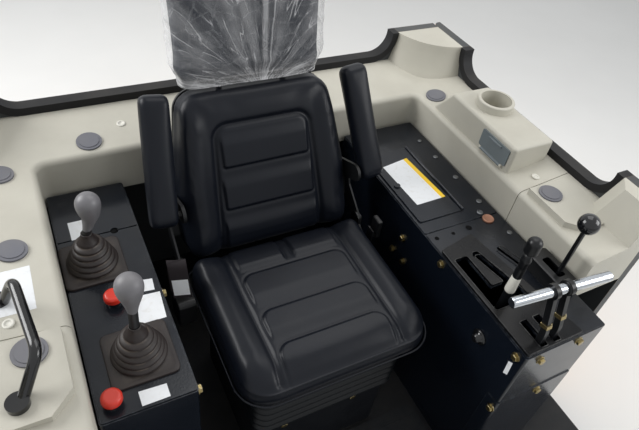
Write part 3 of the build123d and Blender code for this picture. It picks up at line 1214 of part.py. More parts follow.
with BuildPart() as seat_cushion:
    with BuildSketch(Plane.XY.offset(up(PAN_TOP))):
        with Locations((0, (CUSHION_FRONT + CUSHION_REAR) / 2)):
            Rectangle(2 * CUSHION_HALF, CUSHION_REAR - CUSHION_FRONT)
    extrude(amount=CUSHION_TOP - PAN_TOP)
    fillet(seat_cushion.edges().filter_by(Axis.Z).group_by(Axis.Y)[0], radius=CUSHION_CORNER_R)
    fillet(seat_cushion.edges().filter_by(Axis.Z).group_by(Axis.Y)[-1], radius=CUSHION_REAR_R)
    fillet(seat_cushion.edges().group_by(Axis.Z)[-1], radius=CUSHION_EDGE_R)
    with BuildSketch(Plane.XY.offset(up(CUSHION_TOP))):
        for y in CUSHION_GROOVES:
            with Locations((0, y)):
                Rectangle(2 * CUSHION_PANEL_HALF, GROOVE_WIDTH)
        for side in (1, -1):
            with Locations((side * CUSHION_PANEL_HALF, (CUSHION_FRONT + CUSHION_REAR) / 2 + 20)):
                Rectangle(GROOVE_WIDTH, CUSHION_REAR - CUSHION_FRONT - 130)
    extrude(amount=-GROOVE_DEPTH, mode=Mode.SUBTRACT)
keep(seat_cushion.part, "seat_cushion")

# Backrest: shell with the recliner's upper plates, and its cushion
back_up = Vector(0, sin(radians(RECLINE)), cos(radians(RECLINE)))
back_ahead = Vector(0, -cos(radians(RECLINE)), sin(radians(RECLINE)))
hinge = Vector(0, HINGE_Y, up(HINGE_HEIGHT))
head_ahead = Vector(0, -cos(radians(HEAD_TILT)), sin(radians(HEAD_TILT)))
head_foot_point = Vector(0, HEAD_Y, up(HEAD_FOOT))
post_top = head_foot_point - head_ahead * HEAD_POST_SET


def back_plane(ahead):
    """The backrest's drawing plane, its x along X and its y up the backrest."""
    return Plane(origin=hinge + back_ahead * ahead, x_dir=(1, 0, 0), z_dir=back_ahead)


def back_outline(ahead, inset):
    """The backrest's outline, narrower towards its top."""
    with BuildSketch(back_plane(ahead)) as outline:
        low, high = BACK_HALF_LOW - inset, BACK_HALF_TOP - inset
        with BuildLine():
            Polyline(
                (low, BACK_BOTTOM + inset),
                (low, BACK_SHOULDER),
                (high, BACK_TOP - inset),
                (-high, BACK_TOP - inset),
                (-low, BACK_SHOULDER),
                (-low, BACK_BOTTOM + inset),
                close=True,
            )
        make_face()
        # The feet, then the top corners, then the shoulders between the rounded feet and corners
        for first, last, radius in ((0, 2, BACK_FOOT_R), (-2, None, BACK_CORNER_R), (4, 6, BACK_SHOULDER_R)):
            fillet(outline.vertices().sort_by(Axis.Y)[first:last], radius=radius - inset)
    return outline.sketch


def post_bores():
    """Cuts the bores of the head part's posts out of the part at hand."""
    for side in (1, -1):
        post_origin = post_top + Vector(side * HEAD_POST_X, 0, 0)
        with Locations(Plane(origin=post_origin, x_dir=(1, 0, 0), z_dir=back_up)):
            long = 2 * (HEAD_POST_LENGTH + 12)
            Cylinder(HEAD_POST_R + HEAD_POST_GAP, long, mode=Mode.SUBTRACT)


with BuildPart() as back_cushion:
    extrude(back_outline(BACK_FACE, 0), amount=-BACK_THICK)
    fillet(back_cushion.faces().sort_by(Axis(hinge, back_ahead))[-1].edges(), radius=BACK_EDGE_R)
    with BuildSketch(back_plane(BACK_FACE)):
        for height in BACK_GROOVES:
            with Locations((0, height)):
                Rectangle(2 * BACK_PANEL_HALF, GROOVE_WIDTH)
        for side in (1, -1):
            with Locations((side * BACK_PANEL_HALF, (BACK_PANEL_FROM + BACK_PANEL_TO) / 2)):
                Rectangle(GROOVE_WIDTH, BACK_PANEL_TO - BACK_PANEL_FROM)
        with Locations((0, BACK_PANEL_TO)):
            Rectangle(2 * BACK_PANEL_HALF + GROOVE_WIDTH, GROOVE_WIDTH)
    extrude(amount=-GROOVE_DEPTH, mode=Mode.SUBTRACT)
    post_bores()
keep(back_cushion.part, "back_cushion")

with BuildPart() as back_shell:
    extrude(back_outline(BACK_FACE - BACK_THICK, 2), amount=-BACK_SHELL)
    plate_x = HINGE_PLATE_X + HINGE_PLATE + HINGE_PLATE_GAP
    for side in (1, -1):
        plate_origin = hinge + Vector(side * plate_x, 0, 0)
        with BuildSketch(Plane(origin=plate_origin, x_dir=-back_ahead, z_dir=(1, 0, 0))):
            Circle(HINGE_PLATE_R - 3)
            with BuildLine():
                arm_wide, arm_low, arm_bend, arm_top = BACK_ARM
                Polyline(
                    (-16, 10),
                    (BACK_THICK - arm_wide, arm_bend),
                    (BACK_THICK - arm_wide, arm_top),
                    (BACK_THICK, arm_top),
                    (BACK_THICK, arm_low),
                    (16, -12),
                    close=True,
                )
            make_face()
            Circle(HINGE_PIN_R + HINGE_PIN_GAP, mode=Mode.SUBTRACT)
        extrude(amount=side * HINGE_PLATE)
        with BuildSketch(back_plane(BACK_FACE - BACK_THICK)):
            strap_lap, strap_middle, strap_wide, strap_thick = BACK_STRAP
            with Locations((side * (plate_x + HINGE_PLATE + BACK_HALF_LOW - strap_lap) / 2, strap_middle)):
                Rectangle(plate_x + HINGE_PLATE - BACK_HALF_LOW + strap_lap, strap_wide)
        extrude(amount=-strap_thick)
    post_bores()
keep(back_shell.part, "back_shell")

with BuildPart() as head_part:
    with BuildSketch(Plane(origin=head_foot_point, x_dir=(1, 0, 0), z_dir=head_ahead)) as head_face:
        with Locations((0, HEAD_TALL / 2)):
            Rectangle(2 * HEAD_HALF, HEAD_TALL)
        fillet(head_face.vertices().sort_by(Axis.Y)[:2], radius=HEAD_FOOT_R)
        fillet(head_face.vertices().sort_by(Axis.Y)[-2:], radius=HEAD_CORNER_R)
    extrude(amount=-HEAD_THICK)
    front_back = head_part.faces().filter_by(lambda f: abs(f.normal_at().dot(head_ahead)) > 0.99)
    fillet(front_back.edges(), radius=HEAD_EDGE_R)
keep(head_part.part, "head_part")

with BuildPart() as head_posts:
    for side in (1, -1):
        origin = post_top + back_up * HEAD_POST_R + Vector(side * HEAD_POST_X, 0, 0)
        with BuildSketch(Plane(origin=origin, x_dir=(1, 0, 0), z_dir=-back_up)):
            Circle(HEAD_POST_R)
        extrude(amount=HEAD_POST_LENGTH + HEAD_POST_R)
    add(head_part.part, mode=Mode.SUBTRACT)
keep(head_posts.part, "head_posts")

# Armrests on pins through brackets of the backrest
for side, name in ((1, "armrest_left"), (-1, "armrest_right")):
    with BuildPart() as armrest:
        arm_up = Vector(0, sin(radians(ARM_TILT)), cos(radians(ARM_TILT)))
        arm_ahead = Vector(0, -cos(radians(ARM_TILT)), sin(radians(ARM_TILT)))
        lean = arm_up * cos(radians(ARM_SPLAY)) - Vector(side * sin(radians(ARM_SPLAY)), 0, 0)
        pivot = Vector(side * ARM_X, ARM_PIVOT_Y, up(ARM_PIVOT_HEIGHT))
        arm_plane = Plane(origin=pivot, x_dir=arm_ahead, z_dir=arm_ahead.cross(lean))
        with BuildSketch(arm_plane):
            with Locations((0, ARM_LENGTH / 2 - ARM_FOOT)):
                RectangleRounded(ARM_THICK, ARM_LENGTH, ARM_THICK / 2 - 1)
        extrude(amount=ARM_WIDTH / 2, both=True)
        fillet(armrest.faces().filter_by(GeomType.PLANE).sort_by(Axis.X)[0].edges(), radius=ARM_EDGE_R)
        fillet(armrest.faces().filter_by(GeomType.PLANE).sort_by(Axis.X)[-1].edges(), radius=ARM_EDGE_R)
        with Locations(along_x(side * (ARM_X - ARM_WIDTH / 2), ARM_PIVOT_Y, ARM_PIVOT_HEIGHT)):
            Cylinder(ARM_PIN_R + ARM_PIN_GAP, ARM_WIDTH, mode=Mode.SUBTRACT)
    keep(armrest.part, name)

with BuildPart() as arm_brackets:
    for side in (1, -1):
        pin_length = ARM_X - 1 - BACK_HALF_LOW
        ahead = (Vector(0, ARM_PIVOT_Y, up(ARM_PIVOT_HEIGHT)) - hinge).dot(back_ahead)
        reach = ahead + BACK_THICK - BACK_FACE - ARM_BRACKET_SET
        with Locations(along_x(side * (BACK_HALF_LOW + pin_length / 2), ARM_PIVOT_Y, ARM_PIVOT_HEIGHT)):
            Cylinder(ARM_PIN_R, pin_length)
        with BuildSketch(Plane.YZ.offset(side * BACK_HALF_LOW)):
            with Locations((ARM_PIVOT_Y, up(ARM_PIVOT_HEIGHT))):
                Circle(ARM_BRACKET_R)
            with Locations(Location((ARM_PIVOT_Y, up(ARM_PIVOT_HEIGHT)), -RECLINE)):
                with Locations((reach / 2, 0)):
                    Rectangle(reach, 2 * ARM_BRACKET_R)
        extrude(amount=side * ARM_BRACKET)
keep(arm_brackets.part, "arm_brackets")

# Belt retractor and buckle on the recliner's lower plates
with BuildPart() as belt_retractor:
    x, y, height = RETRACTOR_AT
    with Locations((x, y, up(height))):
        Box(*RETRACTOR_SIZE)
    fillet(belt_retractor.edges().filter_by(Axis.X), radius=RETRACTOR_R)
    fillet(belt_retractor.edges().group_by(Axis.X)[0], radius=4)
keep(belt_retractor.part, "belt_retractor")

with BuildPart() as belt_buckle:
    x, y, height = BUCKLE_AT
    with Locations((x, y, up(height))):
        Box(*BUCKLE_SIZE)
    fillet(belt_buckle.edges(), radius=BUCKLE_EDGE_R)
    with Locations((HINGE_PLATE_X + HINGE_PLATE, y, up(PAN_TOP - 4))):
        Box(*BUCKLE_STEM, height - PAN_TOP, align=(Align.MIN, Align.CENTER, Align.MIN))
    with Locations((HINGE_PLATE_X + HINGE_PLATE, y, up(height) - 24)):
        stem_thick, stem_wide = BUCKLE_STEM
        stem_reach = x - HINGE_PLATE_X - HINGE_PLATE
        Box(stem_reach, stem_wide, stem_thick, align=(Align.MIN, Align.CENTER, Align.MIN))
keep(belt_buckle.part, "belt_buckle")
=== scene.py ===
"""Looks of a crawler dozer's operator's station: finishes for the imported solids, the padded and rubber
pieces that stand for the soft ones, small fittings, and the stage."""

import math
from math import cos, pi, radians, sin

import bmesh
import bpy
import numpy as np
from mathutils import Matrix, Vector, noise


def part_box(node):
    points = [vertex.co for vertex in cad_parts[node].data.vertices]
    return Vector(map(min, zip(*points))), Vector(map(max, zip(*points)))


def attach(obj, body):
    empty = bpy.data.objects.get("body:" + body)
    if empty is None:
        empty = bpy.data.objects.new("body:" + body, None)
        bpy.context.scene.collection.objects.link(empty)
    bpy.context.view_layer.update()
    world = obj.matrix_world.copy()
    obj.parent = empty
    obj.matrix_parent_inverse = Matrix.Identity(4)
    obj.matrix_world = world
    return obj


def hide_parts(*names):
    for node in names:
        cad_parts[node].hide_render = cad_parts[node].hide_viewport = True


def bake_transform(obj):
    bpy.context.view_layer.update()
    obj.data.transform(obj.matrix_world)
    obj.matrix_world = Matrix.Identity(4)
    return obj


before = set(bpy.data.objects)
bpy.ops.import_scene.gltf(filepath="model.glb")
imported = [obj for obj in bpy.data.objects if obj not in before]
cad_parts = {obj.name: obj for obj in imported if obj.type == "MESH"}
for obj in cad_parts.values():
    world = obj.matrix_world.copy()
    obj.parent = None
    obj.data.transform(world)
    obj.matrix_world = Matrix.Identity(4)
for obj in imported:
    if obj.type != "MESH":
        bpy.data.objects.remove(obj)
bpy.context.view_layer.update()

bl_info = {
    "name": "Operator's station looks",
    "version": (1, 0, 0),
    "blender": (4, 5, 0),
    "location": "3D View > Sidebar > Station",
    "description": "Finishes, cushions, boots and fittings of an operator's station on its packed solids",
    "category": "Object",
}

# Heights in this file count from the top of the floor plate, unless a name says otherwise
FLOOR_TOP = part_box("floor_plate")[1].z
CONSOLE_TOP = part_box("console_right_cover")[0].z - FLOOR_TOP + 0.003


def at(x, y, height):
    """A point of the station from millimetres, its height above the floor plate."""
    return Vector((x / 1000, y / 1000, height / 1000 + FLOOR_TOP))


def tone(red, green, blue):
    """A colour from its display values, 0 to 255, as Blender's linear ones."""
    shares = [c / 255 for c in (red, green, blue)]
    return tuple(c / 12.92 if c < 0.04045 else ((c + 0.055) / 1.055) ** 2.4 for c in shares)


def colour(name, about, *rgb):
    return bpy.props.FloatVectorProperty(
        name=name, description=about, subtype="COLOR", size=3, min=0, max=1, default=tone(*rgb)
    )


def length(name, about, default):
    return bpy.props.FloatProperty(name=name, description=about, default=default, min=0, unit="LENGTH")


class StationColours(bpy.types.PropertyGroup):
    """Colours of the station's finishes."""

    lining: colour("Lining", "Moulded plastic lining", 185, 182, 170)
    console: colour("Console", "Gloss paint of the consoles", 14, 19, 27)
    vinyl: colour("Vinyl", "Seat covering", 16, 19, 26)
    boot: colour("Boots", "Rubber of the lever boots", 38, 32, 31)
    vent: colour("Vent caps", "Round caps in the lining", 98, 99, 106)
    flap: colour("Flap", "Ashtray flap", 108, 117, 121)
    knob: colour("Knobs", "Lever knobs", 106, 105, 108)
    stop: colour("Push buttons", "Mushroom push buttons", 200, 45, 28)
    body: colour("Body paint", "Paint on the outside of the walls", 224, 152, 18)
    zinc: colour("Yellow zinc", "Plating of bolts and clamps", 156, 140, 96)
    copper: colour("Copper cap", "Cap beside the gate", 150, 106, 84)


class StationSizes(bpy.types.PropertyGroup):
    """Sizes of the padded pieces and their seams."""

    crease: length("Crease depth", "Depth of the channels pressed into the seat", 0.0075)
    panel: length("Panel rise", "How far the pressed panels stand up", 0.0058)
    bolster: length("Bolster", "Rise of the cushion's side bolsters", 0.011)
    swell: length("Swell", "How far the padding may swell in the simulation", 0.006)
    piping: length("Piping", "Radius of the piping round the cushion", 0.0024)
    voxel: length("Voxel", "Cell of the padding's mesh before its last division", 0.006)


# Small helpers for node trees
class Tree:
    """A node tree with short calls for the nodes and links that the finishes use."""

    def __init__(self, tree):
        self.tree = tree
        self.count = 0

    def add(self, kind, **settings):
        node = self.tree.nodes.new(kind)
        node.location = (180 * (self.count % 12), -260 * (self.count // 12))
        self.count += 1
        for name, value in settings.items():
            setattr(node, name, value)
        return node

    def put(self, value, socket):
        """Links a socket or sets a plain value."""
        if isinstance(value, bpy.types.NodeSocket):
            self.tree.links.new(value, socket)
        elif isinstance(value, tuple) and len(value) == 3 and socket.type == "RGBA":
            socket.default_value = (*value, 1)
        else:
            socket.default_value = value

    def maths(self, operation, first, second=0.0, third=0.0, clamp=False):
        node = self.add("ShaderNodeMath", operation=operation, use_clamp=clamp)
        for value, socket in zip((first, second, third), node.inputs):
            self.put(value, socket)
        return node.outputs[0]

    def blend(self, share, first, second):
        node = self.add("ShaderNodeMix", data_type="RGBA")
        self.put(share, node.inputs["Factor"])
        self.put(first, node.inputs["A"])
        self.put(second, node.inputs["B"])
        return node.outputs["Result"]

    def span(self, value, low, high, to_low=0.0, to_high=1.0):
        node = self.add("ShaderNodeMapRange")
        names = ("Value", "From Min", "From Max", "To Min", "To Max")
        for given, name in zip((value, low, high, to_low, to_high), names):
            self.put(given, node.inputs[name])
        return node.outputs[0]

    def noise(self, place, scale, detail=3.0, rough=0.5):
        node = self.add("ShaderNodeTexNoise")
        self.put(place, node.inputs["Vector"])
        for value, name in ((scale, "Scale"), (detail, "Detail"), (rough, "Roughness")):
            self.put(value, node.inputs[name])
        return node.outputs["Fac"]

    def cells(self, place, scale, feature):
        node = self.add("ShaderNodeTexVoronoi", feature=feature)
        self.put(place, node.inputs["Vector"])
        self.put(scale, node.inputs["Scale"])
        return node.outputs["Distance"]

    def product(self, first, second, clamp=False):
        return self.maths("MULTIPLY", first, second, clamp=clamp)

    def total(self, *values, clamp=False):
        """The sum of two or more values, clamped at its end if asked."""
        *firsts, last = values
        sum_of_firsts = self.total(*firsts) if len(firsts) > 1 else firsts[0]
        return self.maths("ADD", sum_of_firsts, last, clamp=clamp)

    def axes(self, vector):
        """The X, Y and Z of a vector."""
        split = self.add("ShaderNodeSeparateXYZ")
        self.put(vector, split.inputs[0])
        return split.outputs

    def place(self):
        """A point's place in the part's own frame."""
        return self.add("ShaderNodeTexCoord").outputs["Object"]

    def normal(self):
        return self.add("ShaderNodeNewGeometry").outputs["Normal"]


def node_group(name, output, wire, **numbers):
    """A shader node group with a Place and the named numbers; wire(tree, given) returns its output."""
    group = bpy.data.node_groups.new(name, "ShaderNodeTree")
    group.interface.new_socket("Place", in_out="INPUT", socket_type="NodeSocketVector")
    for label, default in numbers.items():
        socket = group.interface.new_socket(label, in_out="INPUT", socket_type="NodeSocketFloat")
        socket.default_value = default
    group.interface.new_socket(output, in_out="OUTPUT", socket_type="NodeSocketFloat")
    tree = Tree(group)
    result = wire(tree, tree.add("NodeGroupInput").outputs)
    tree.put(result, tree.add("NodeGroupOutput").inputs[output])
    return group


def wire_grain(tree, given):
    """Moulded grain: small cells on a soft noise."""
    cells = tree.cells(given["Place"], given["Scale"], "SMOOTH_F1")
    soft = tree.noise(given["Place"], tree.product(given["Scale"], 0.35), 2.0)
    return tree.total(tree.product(cells, 0.7), tree.product(soft, 0.5))


def wire_wear(tree, given):
    """Edges where a rounded normal leaves the flat one, broken up by noise."""
    bevel = tree.add("ShaderNodeBevel", samples=4)
    tree.put(given["Radius"], bevel.inputs["Radius"])
    dot = tree.add("ShaderNodeVectorMath", operation="DOT_PRODUCT")
    tree.put(bevel.outputs[0], dot.inputs[0])
    tree.put(tree.normal(), dot.inputs[1])
    edge = tree.span(dot.outputs["Value"], 0.995, 0.86)
    rub = tree.span(tree.noise(given["Place"], given["Scale"], 4.0), 0.42, 0.62)
    return tree.product(edge, rub, clamp=True)


def wire_dust(tree, given):
    """Dust that settles on what faces up, in soft patches."""
    flat = tree.span(tree.axes(tree.normal())["Z"], 0.55, 1.0)
    patches = tree.span(tree.noise(given["Place"], given["Scale"], 5.0, 0.6), 0.35, 0.75)
    specks = tree.span(tree.noise(given["Place"], 900.0, 2.0), 0.62, 0.72)
    both = tree.total(patches, tree.product(specks, 0.6))
    return tree.product(tree.product(flat, both), given["Amount"], clamp=True)


def wire_variation(tree, given):
    """Slow change of tone over a surface, from cloudy noise at two scales."""
    wide = tree.noise(given["Place"], given["Scale"], 2.0)
    near = tree.noise(given["Place"], tree.product(given["Scale"], 6.0), 4.0)
    return tree.span(tree.total(tree.product(wide, 0.65), tree.product(near, 0.35)), 0.3, 0.7)


GRAIN = node_group("Moulded grain", "Height", wire_grain, Scale=900.0)
WEAR = node_group("Edge wear", "Mask", wire_wear, Scale=60.0, Radius=0.002)
DUST = node_group("Settled dust", "Mask", wire_dust, Scale=9.0, Amount=0.3)
VARIATION = node_group("Tone variation", "Share", wire_variation, Scale=4.0)
DUST_TONE = tone(150, 143, 130)


def use(tree, group, output, **values):
    node = tree.add("ShaderNodeGroup", node_tree=group)
    for name, value in values.items():
        tree.put(value, node.inputs[name])
    return node.outputs[output]


def shade(rgb, factor):
    return tuple(min(1.0, c * factor) for c in rgb)


def new_material(name):
    """An empty material with a Principled shader: the material, its tree and the shader."""
    material = bpy.data.materials.new(name)
    material.use_nodes = True
    material.node_tree.nodes.clear()
    tree = Tree(material.node_tree)
    out = tree.add("ShaderNodeOutputMaterial")
    body = tree.add("ShaderNodeBsdfPrincipled")
    tree.put(body.outputs[0], out.inputs["Surface"])
    return material, tree, body


def add_bump(tree, body, height, distance, strength):
    """Bump from a height, with its depth in metres."""
    bump = tree.add("ShaderNodeBump")
    bump.inputs["Distance"].default_value = distance
    bump.inputs["Strength"].default_value = strength
    tree.put(height, bump.inputs["Height"])
    tree.put(bump.outputs[0], body.inputs["Normal"])


def finish(
    name, base, rough, spread=0.12, metal=0.0, coat=0.0, gleam=0.5, grain=None, wear=None, dust=0.0,
    recolour=None, weave=None,
):
    """A material: a varied base colour, edge wear, dust, and grain in its bump.

    rough is the lowest and highest roughness, gleam the specular level, grain its scale and depth in
    metres, and wear a colour and a radius.
    recolour(tree, place, colour) may change the colour, and weave(tree, place) give another height."""
    material, tree, body = new_material(name)
    body.inputs["Metallic"].default_value = metal
    body.inputs["Coat Weight"].default_value = coat
    body.inputs["Coat Roughness"].default_value = 0.08
    body.inputs["Specular IOR Level"].default_value = gleam
    place = tree.place()
    vary = use(tree, VARIATION, "Share", Place=place)
    tint = tree.blend(vary, shade(base, 1 - spread), shade(base, 1 + spread))
    if recolour:
        tint = recolour(tree, place, tint)
    rougher = tree.span(vary, 0.0, 1.0, *rough)
    if wear:
        mask = use(tree, WEAR, "Mask", Place=place, Radius=wear[1])
        tint = tree.blend(mask, tint, wear[0])
        rougher = tree.total(rougher, tree.product(mask, 0.15), clamp=True)
    if dust:
        mask = use(tree, DUST, "Mask", Place=place, Amount=dust)
        tint = tree.blend(mask, tint, DUST_TONE)
        rougher = tree.total(rougher, tree.product(mask, 0.5), clamp=True)
    tree.put(tint, body.inputs["Base Color"])
    tree.put(rougher, body.inputs["Roughness"])
    height = weave(tree, place) if weave else None
    if grain:
        fine = use(tree, GRAIN, "Height", Place=place, Scale=grain[0])
        height = fine if height is None else tree.total(tree.product(fine, 0.4), height)
    if height is not None:
        add_bump(tree, body, height, grain[1] if grain else 0.0004, 0.6)
    return material


WALL_INNER_X, WALL_INNER_Y = 0.785, 0.635


def two_paints(tree, place, tint):
    """Grey paint on the walls' inner faces, tops and front ends, body paint outside."""
    point, way = tree.axes(place), tree.axes(tree.normal())
    side = tree.maths("LESS_THAN", tree.maths("ABSOLUTE", point["X"]), WALL_INNER_X)
    rear = tree.maths("LESS_THAN", point["Y"], WALL_INNER_Y)
    upward = tree.maths("GREATER_THAN", way["Z"], 0.8)
    ahead = tree.maths("LESS_THAN", way["Y"], -0.8)
    grey = tree.total(tree.product(side, rear), upward, ahead, clamp=True)
    return tree.blend(grey, tint, tone(60, 62, 63))


def lever_finish(name, knob, foot):
    """A lever's finish: the knob's colour above its foot, and a black rod below."""

    def recolour(tree, place, tint):
        below = tree.maths("LESS_THAN", tree.axes(place)["Z"], FLOOR_TOP + foot)
        return tree.blend(below, tint, tone(22, 22, 24))

    return finish(name, knob, (0.36, 0.48), 0.08, grain=(900.0, 0.0002), dust=0.14, recolour=recolour)


def label_tones(tree, place, tint):
    """Slight yellowing and dirt on the blank labels."""
    dirt = tree.span(tree.noise(place, 70.0, 5.0), 0.55, 0.8)
    return tree.blend(tree.product(dirt, 0.35), tint, tone(185, 180, 165))


def boot_dirt(tree, place, tint):
    """Pale dust in the folds of the rubber."""
    point = tree.add("ShaderNodeNewGeometry").outputs["Pointiness"]
    fold = tree.span(point, 0.5, 0.44)
    patch = tree.span(tree.noise(place, 45.0, 4.0), 0.4, 0.65)
    return tree.blend(tree.product(fold, patch), tint, tone(112, 101, 90))


def leather_height(tree, place):
    """Pressed vinyl: shallow pebbles with fine wrinkles between them."""
    pebbles = tree.cells(place, 420.0, "SMOOTH_F1")
    wrinkles = tree.noise(place, 160.0, 4.0, 0.6)
    return tree.total(pebbles, tree.product(wrinkles, 0.8))


def plate_pattern(tree, place):
    """Faint orange peel of sprayed paint."""
    return tree.noise(place, 260.0, 2.0, 0.4)


def make_finishes(c):
    """All finishes by name, from the colours in the sidebar."""
    black = tone(16, 17, 19)
    return {
        "lining": finish("Moulded lining", c.lining, (0.48, 0.62), 0.05, grain=(700.0, 0.0003), dust=0.2),
        "console": finish(
            "Console paint", c.console, (0.14, 0.26), 0.16, coat=0.1, gleam=0.3,
            wear=(tone(70, 76, 84), 0.0022), dust=0.035, weave=plate_pattern,
        ),
        "walls": finish(
            "Wall paint", c.body, (0.4, 0.52), 0.05, gleam=0.3, wear=(tone(120, 90, 40), 0.002), dust=0.1,
            recolour=two_paints,
        ),
        "floor": finish(
            "Floor paint", tone(15, 17, 21), (0.4, 0.6), 0.2, gleam=0.25,
            wear=(tone(80, 80, 80), 0.003), dust=0.06, weave=plate_pattern,
        ),
        "mat": finish(
            "Floor mat", tone(22, 26, 31), (0.6, 0.8), 0.12, gleam=0.25, grain=(500.0, 0.0004), dust=0.08
        ),
        "seal": finish(
            "Window rubber", tone(18, 18, 20), (0.5, 0.68), 0.1, gleam=0.3, grain=(800.0, 0.0002), dust=0.06
        ),
        "vent": finish("Vent cap plastic", c.vent, (0.5, 0.62), 0.06, grain=(900.0, 0.0003), dust=0.15),
        "flap": finish("Flap plastic", c.flap, (0.4, 0.5), 0.06, grain=(900.0, 0.0002), dust=0.12),
        "black": finish(
            "Black plastic", black, (0.24, 0.4), 0.15, gleam=0.3, wear=(tone(60, 60, 62), 0.0015),
            grain=(900.0, 0.00015), dust=0.04,
        ),
        "gloss": finish(
            "Glossy black plastic", black, (0.06, 0.14), 0.1, coat=0.4, gleam=0.3, dust=0.03,
            weave=plate_pattern,
        ),
        "gate": finish(
            "Gate plate plastic", tone(13, 14, 17), (0.18, 0.32), 0.15, gleam=0.18,
            wear=(tone(110, 110, 108), 0.0022), grain=(600.0, 0.0002), dust=0.04,
        ),
        # Painted shade: near-black matt discs that stand in for the shade inside holes in the covers
        "painted_hole_shade": finish("Painted hole shade", tone(5, 5, 6), (0.7, 0.8), 0.1, gleam=0.1, weave=plate_pattern),
        "stop": finish("Button plastic", c.stop, (0.25, 0.36), 0.07, dust=0.1, weave=plate_pattern),
        "boot": finish(
            "Boot rubber", c.boot, (0.38, 0.52), 0.12, gleam=0.35, grain=(900.0, 0.0002), dust=0.06,
            recolour=boot_dirt,
        ),
        "bellows": finish(
            "Bellows rubber", tone(11, 14, 17), (0.34, 0.48), 0.14, gleam=0.22, grain=(700.0, 0.0002),
            dust=0.02,
        ),
        "vinyl": finish(
            "Pressed vinyl", c.vinyl, (0.3, 0.4), 0.12, gleam=0.2, grain=(900.0, 0.00016), dust=0.012,
            weave=leather_height,
        ),
        "shell": finish(
            "Seat shell plastic", tone(18, 19, 21), (0.42, 0.56), 0.1, gleam=0.3, grain=(600.0, 0.0004),
            dust=0.03,
        ),
        "steel": finish(
            "Bare steel", tone(110, 112, 114), (0.28, 0.45), 0.15, metal=1.0, weave=plate_pattern
        ),
        "chrome": finish(
            "Chrome plating", tone(186, 190, 195), (0.05, 0.14), 0.03, metal=1.0, weave=plate_pattern
        ),
        "zinc": finish(
            "Yellow zinc", c.zinc, (0.26, 0.42), 0.25, metal=1.0, wear=(tone(215, 210, 195), 0.001),
            weave=plate_pattern,
        ),
        "copper": finish(
            "Copper cap", c.copper, (0.3, 0.45), 0.12, metal=0.4, dust=0.1, weave=plate_pattern
        ),
        "white": finish(
            "White plastic", tone(212, 210, 200), (0.4, 0.52), 0.05, grain=(900.0, 0.0002), dust=0.12
        ),
        "label": finish(
            "Blank label", tone(226, 228, 230), (0.25, 0.36), 0.03, recolour=label_tones, weave=plate_pattern
        ),
        "yellow": finish(
            "Yellow label strip", tone(238, 196, 20), (0.25, 0.36), 0.04, recolour=label_tones,
            weave=plate_pattern,
        ),
        "knob": finish("Lever knob", c.knob, (0.36, 0.48), 0.08, grain=(900.0, 0.0002), dust=0.14),
        "blade_knob": lever_finish("Blade lever", c.knob, 0.752),
        "ripper_knob": lever_finish("Ripper lever", c.knob, 0.716),
        "head": finish(
            "Head part cloth", tone(34, 38, 46), (0.7, 0.85), 0.2, gleam=0.3, grain=(500.0, 0.0006),
            weave=leather_height,
        ),
        "belt": finish("Belt webbing", tone(30, 24, 27), (0.6, 0.75), 0.15, gleam=0.3, weave=webbing_height),
        "film": film_finish(),
    }


def webbing_height(tree, place):
    """Ribs across woven webbing."""
    wave = tree.add("ShaderNodeTexWave", bands_direction="DIAGONAL")
    tree.put(place, wave.inputs["Vector"])
    wave.inputs["Scale"].default_value = 260.0
    return wave.outputs["Fac"]


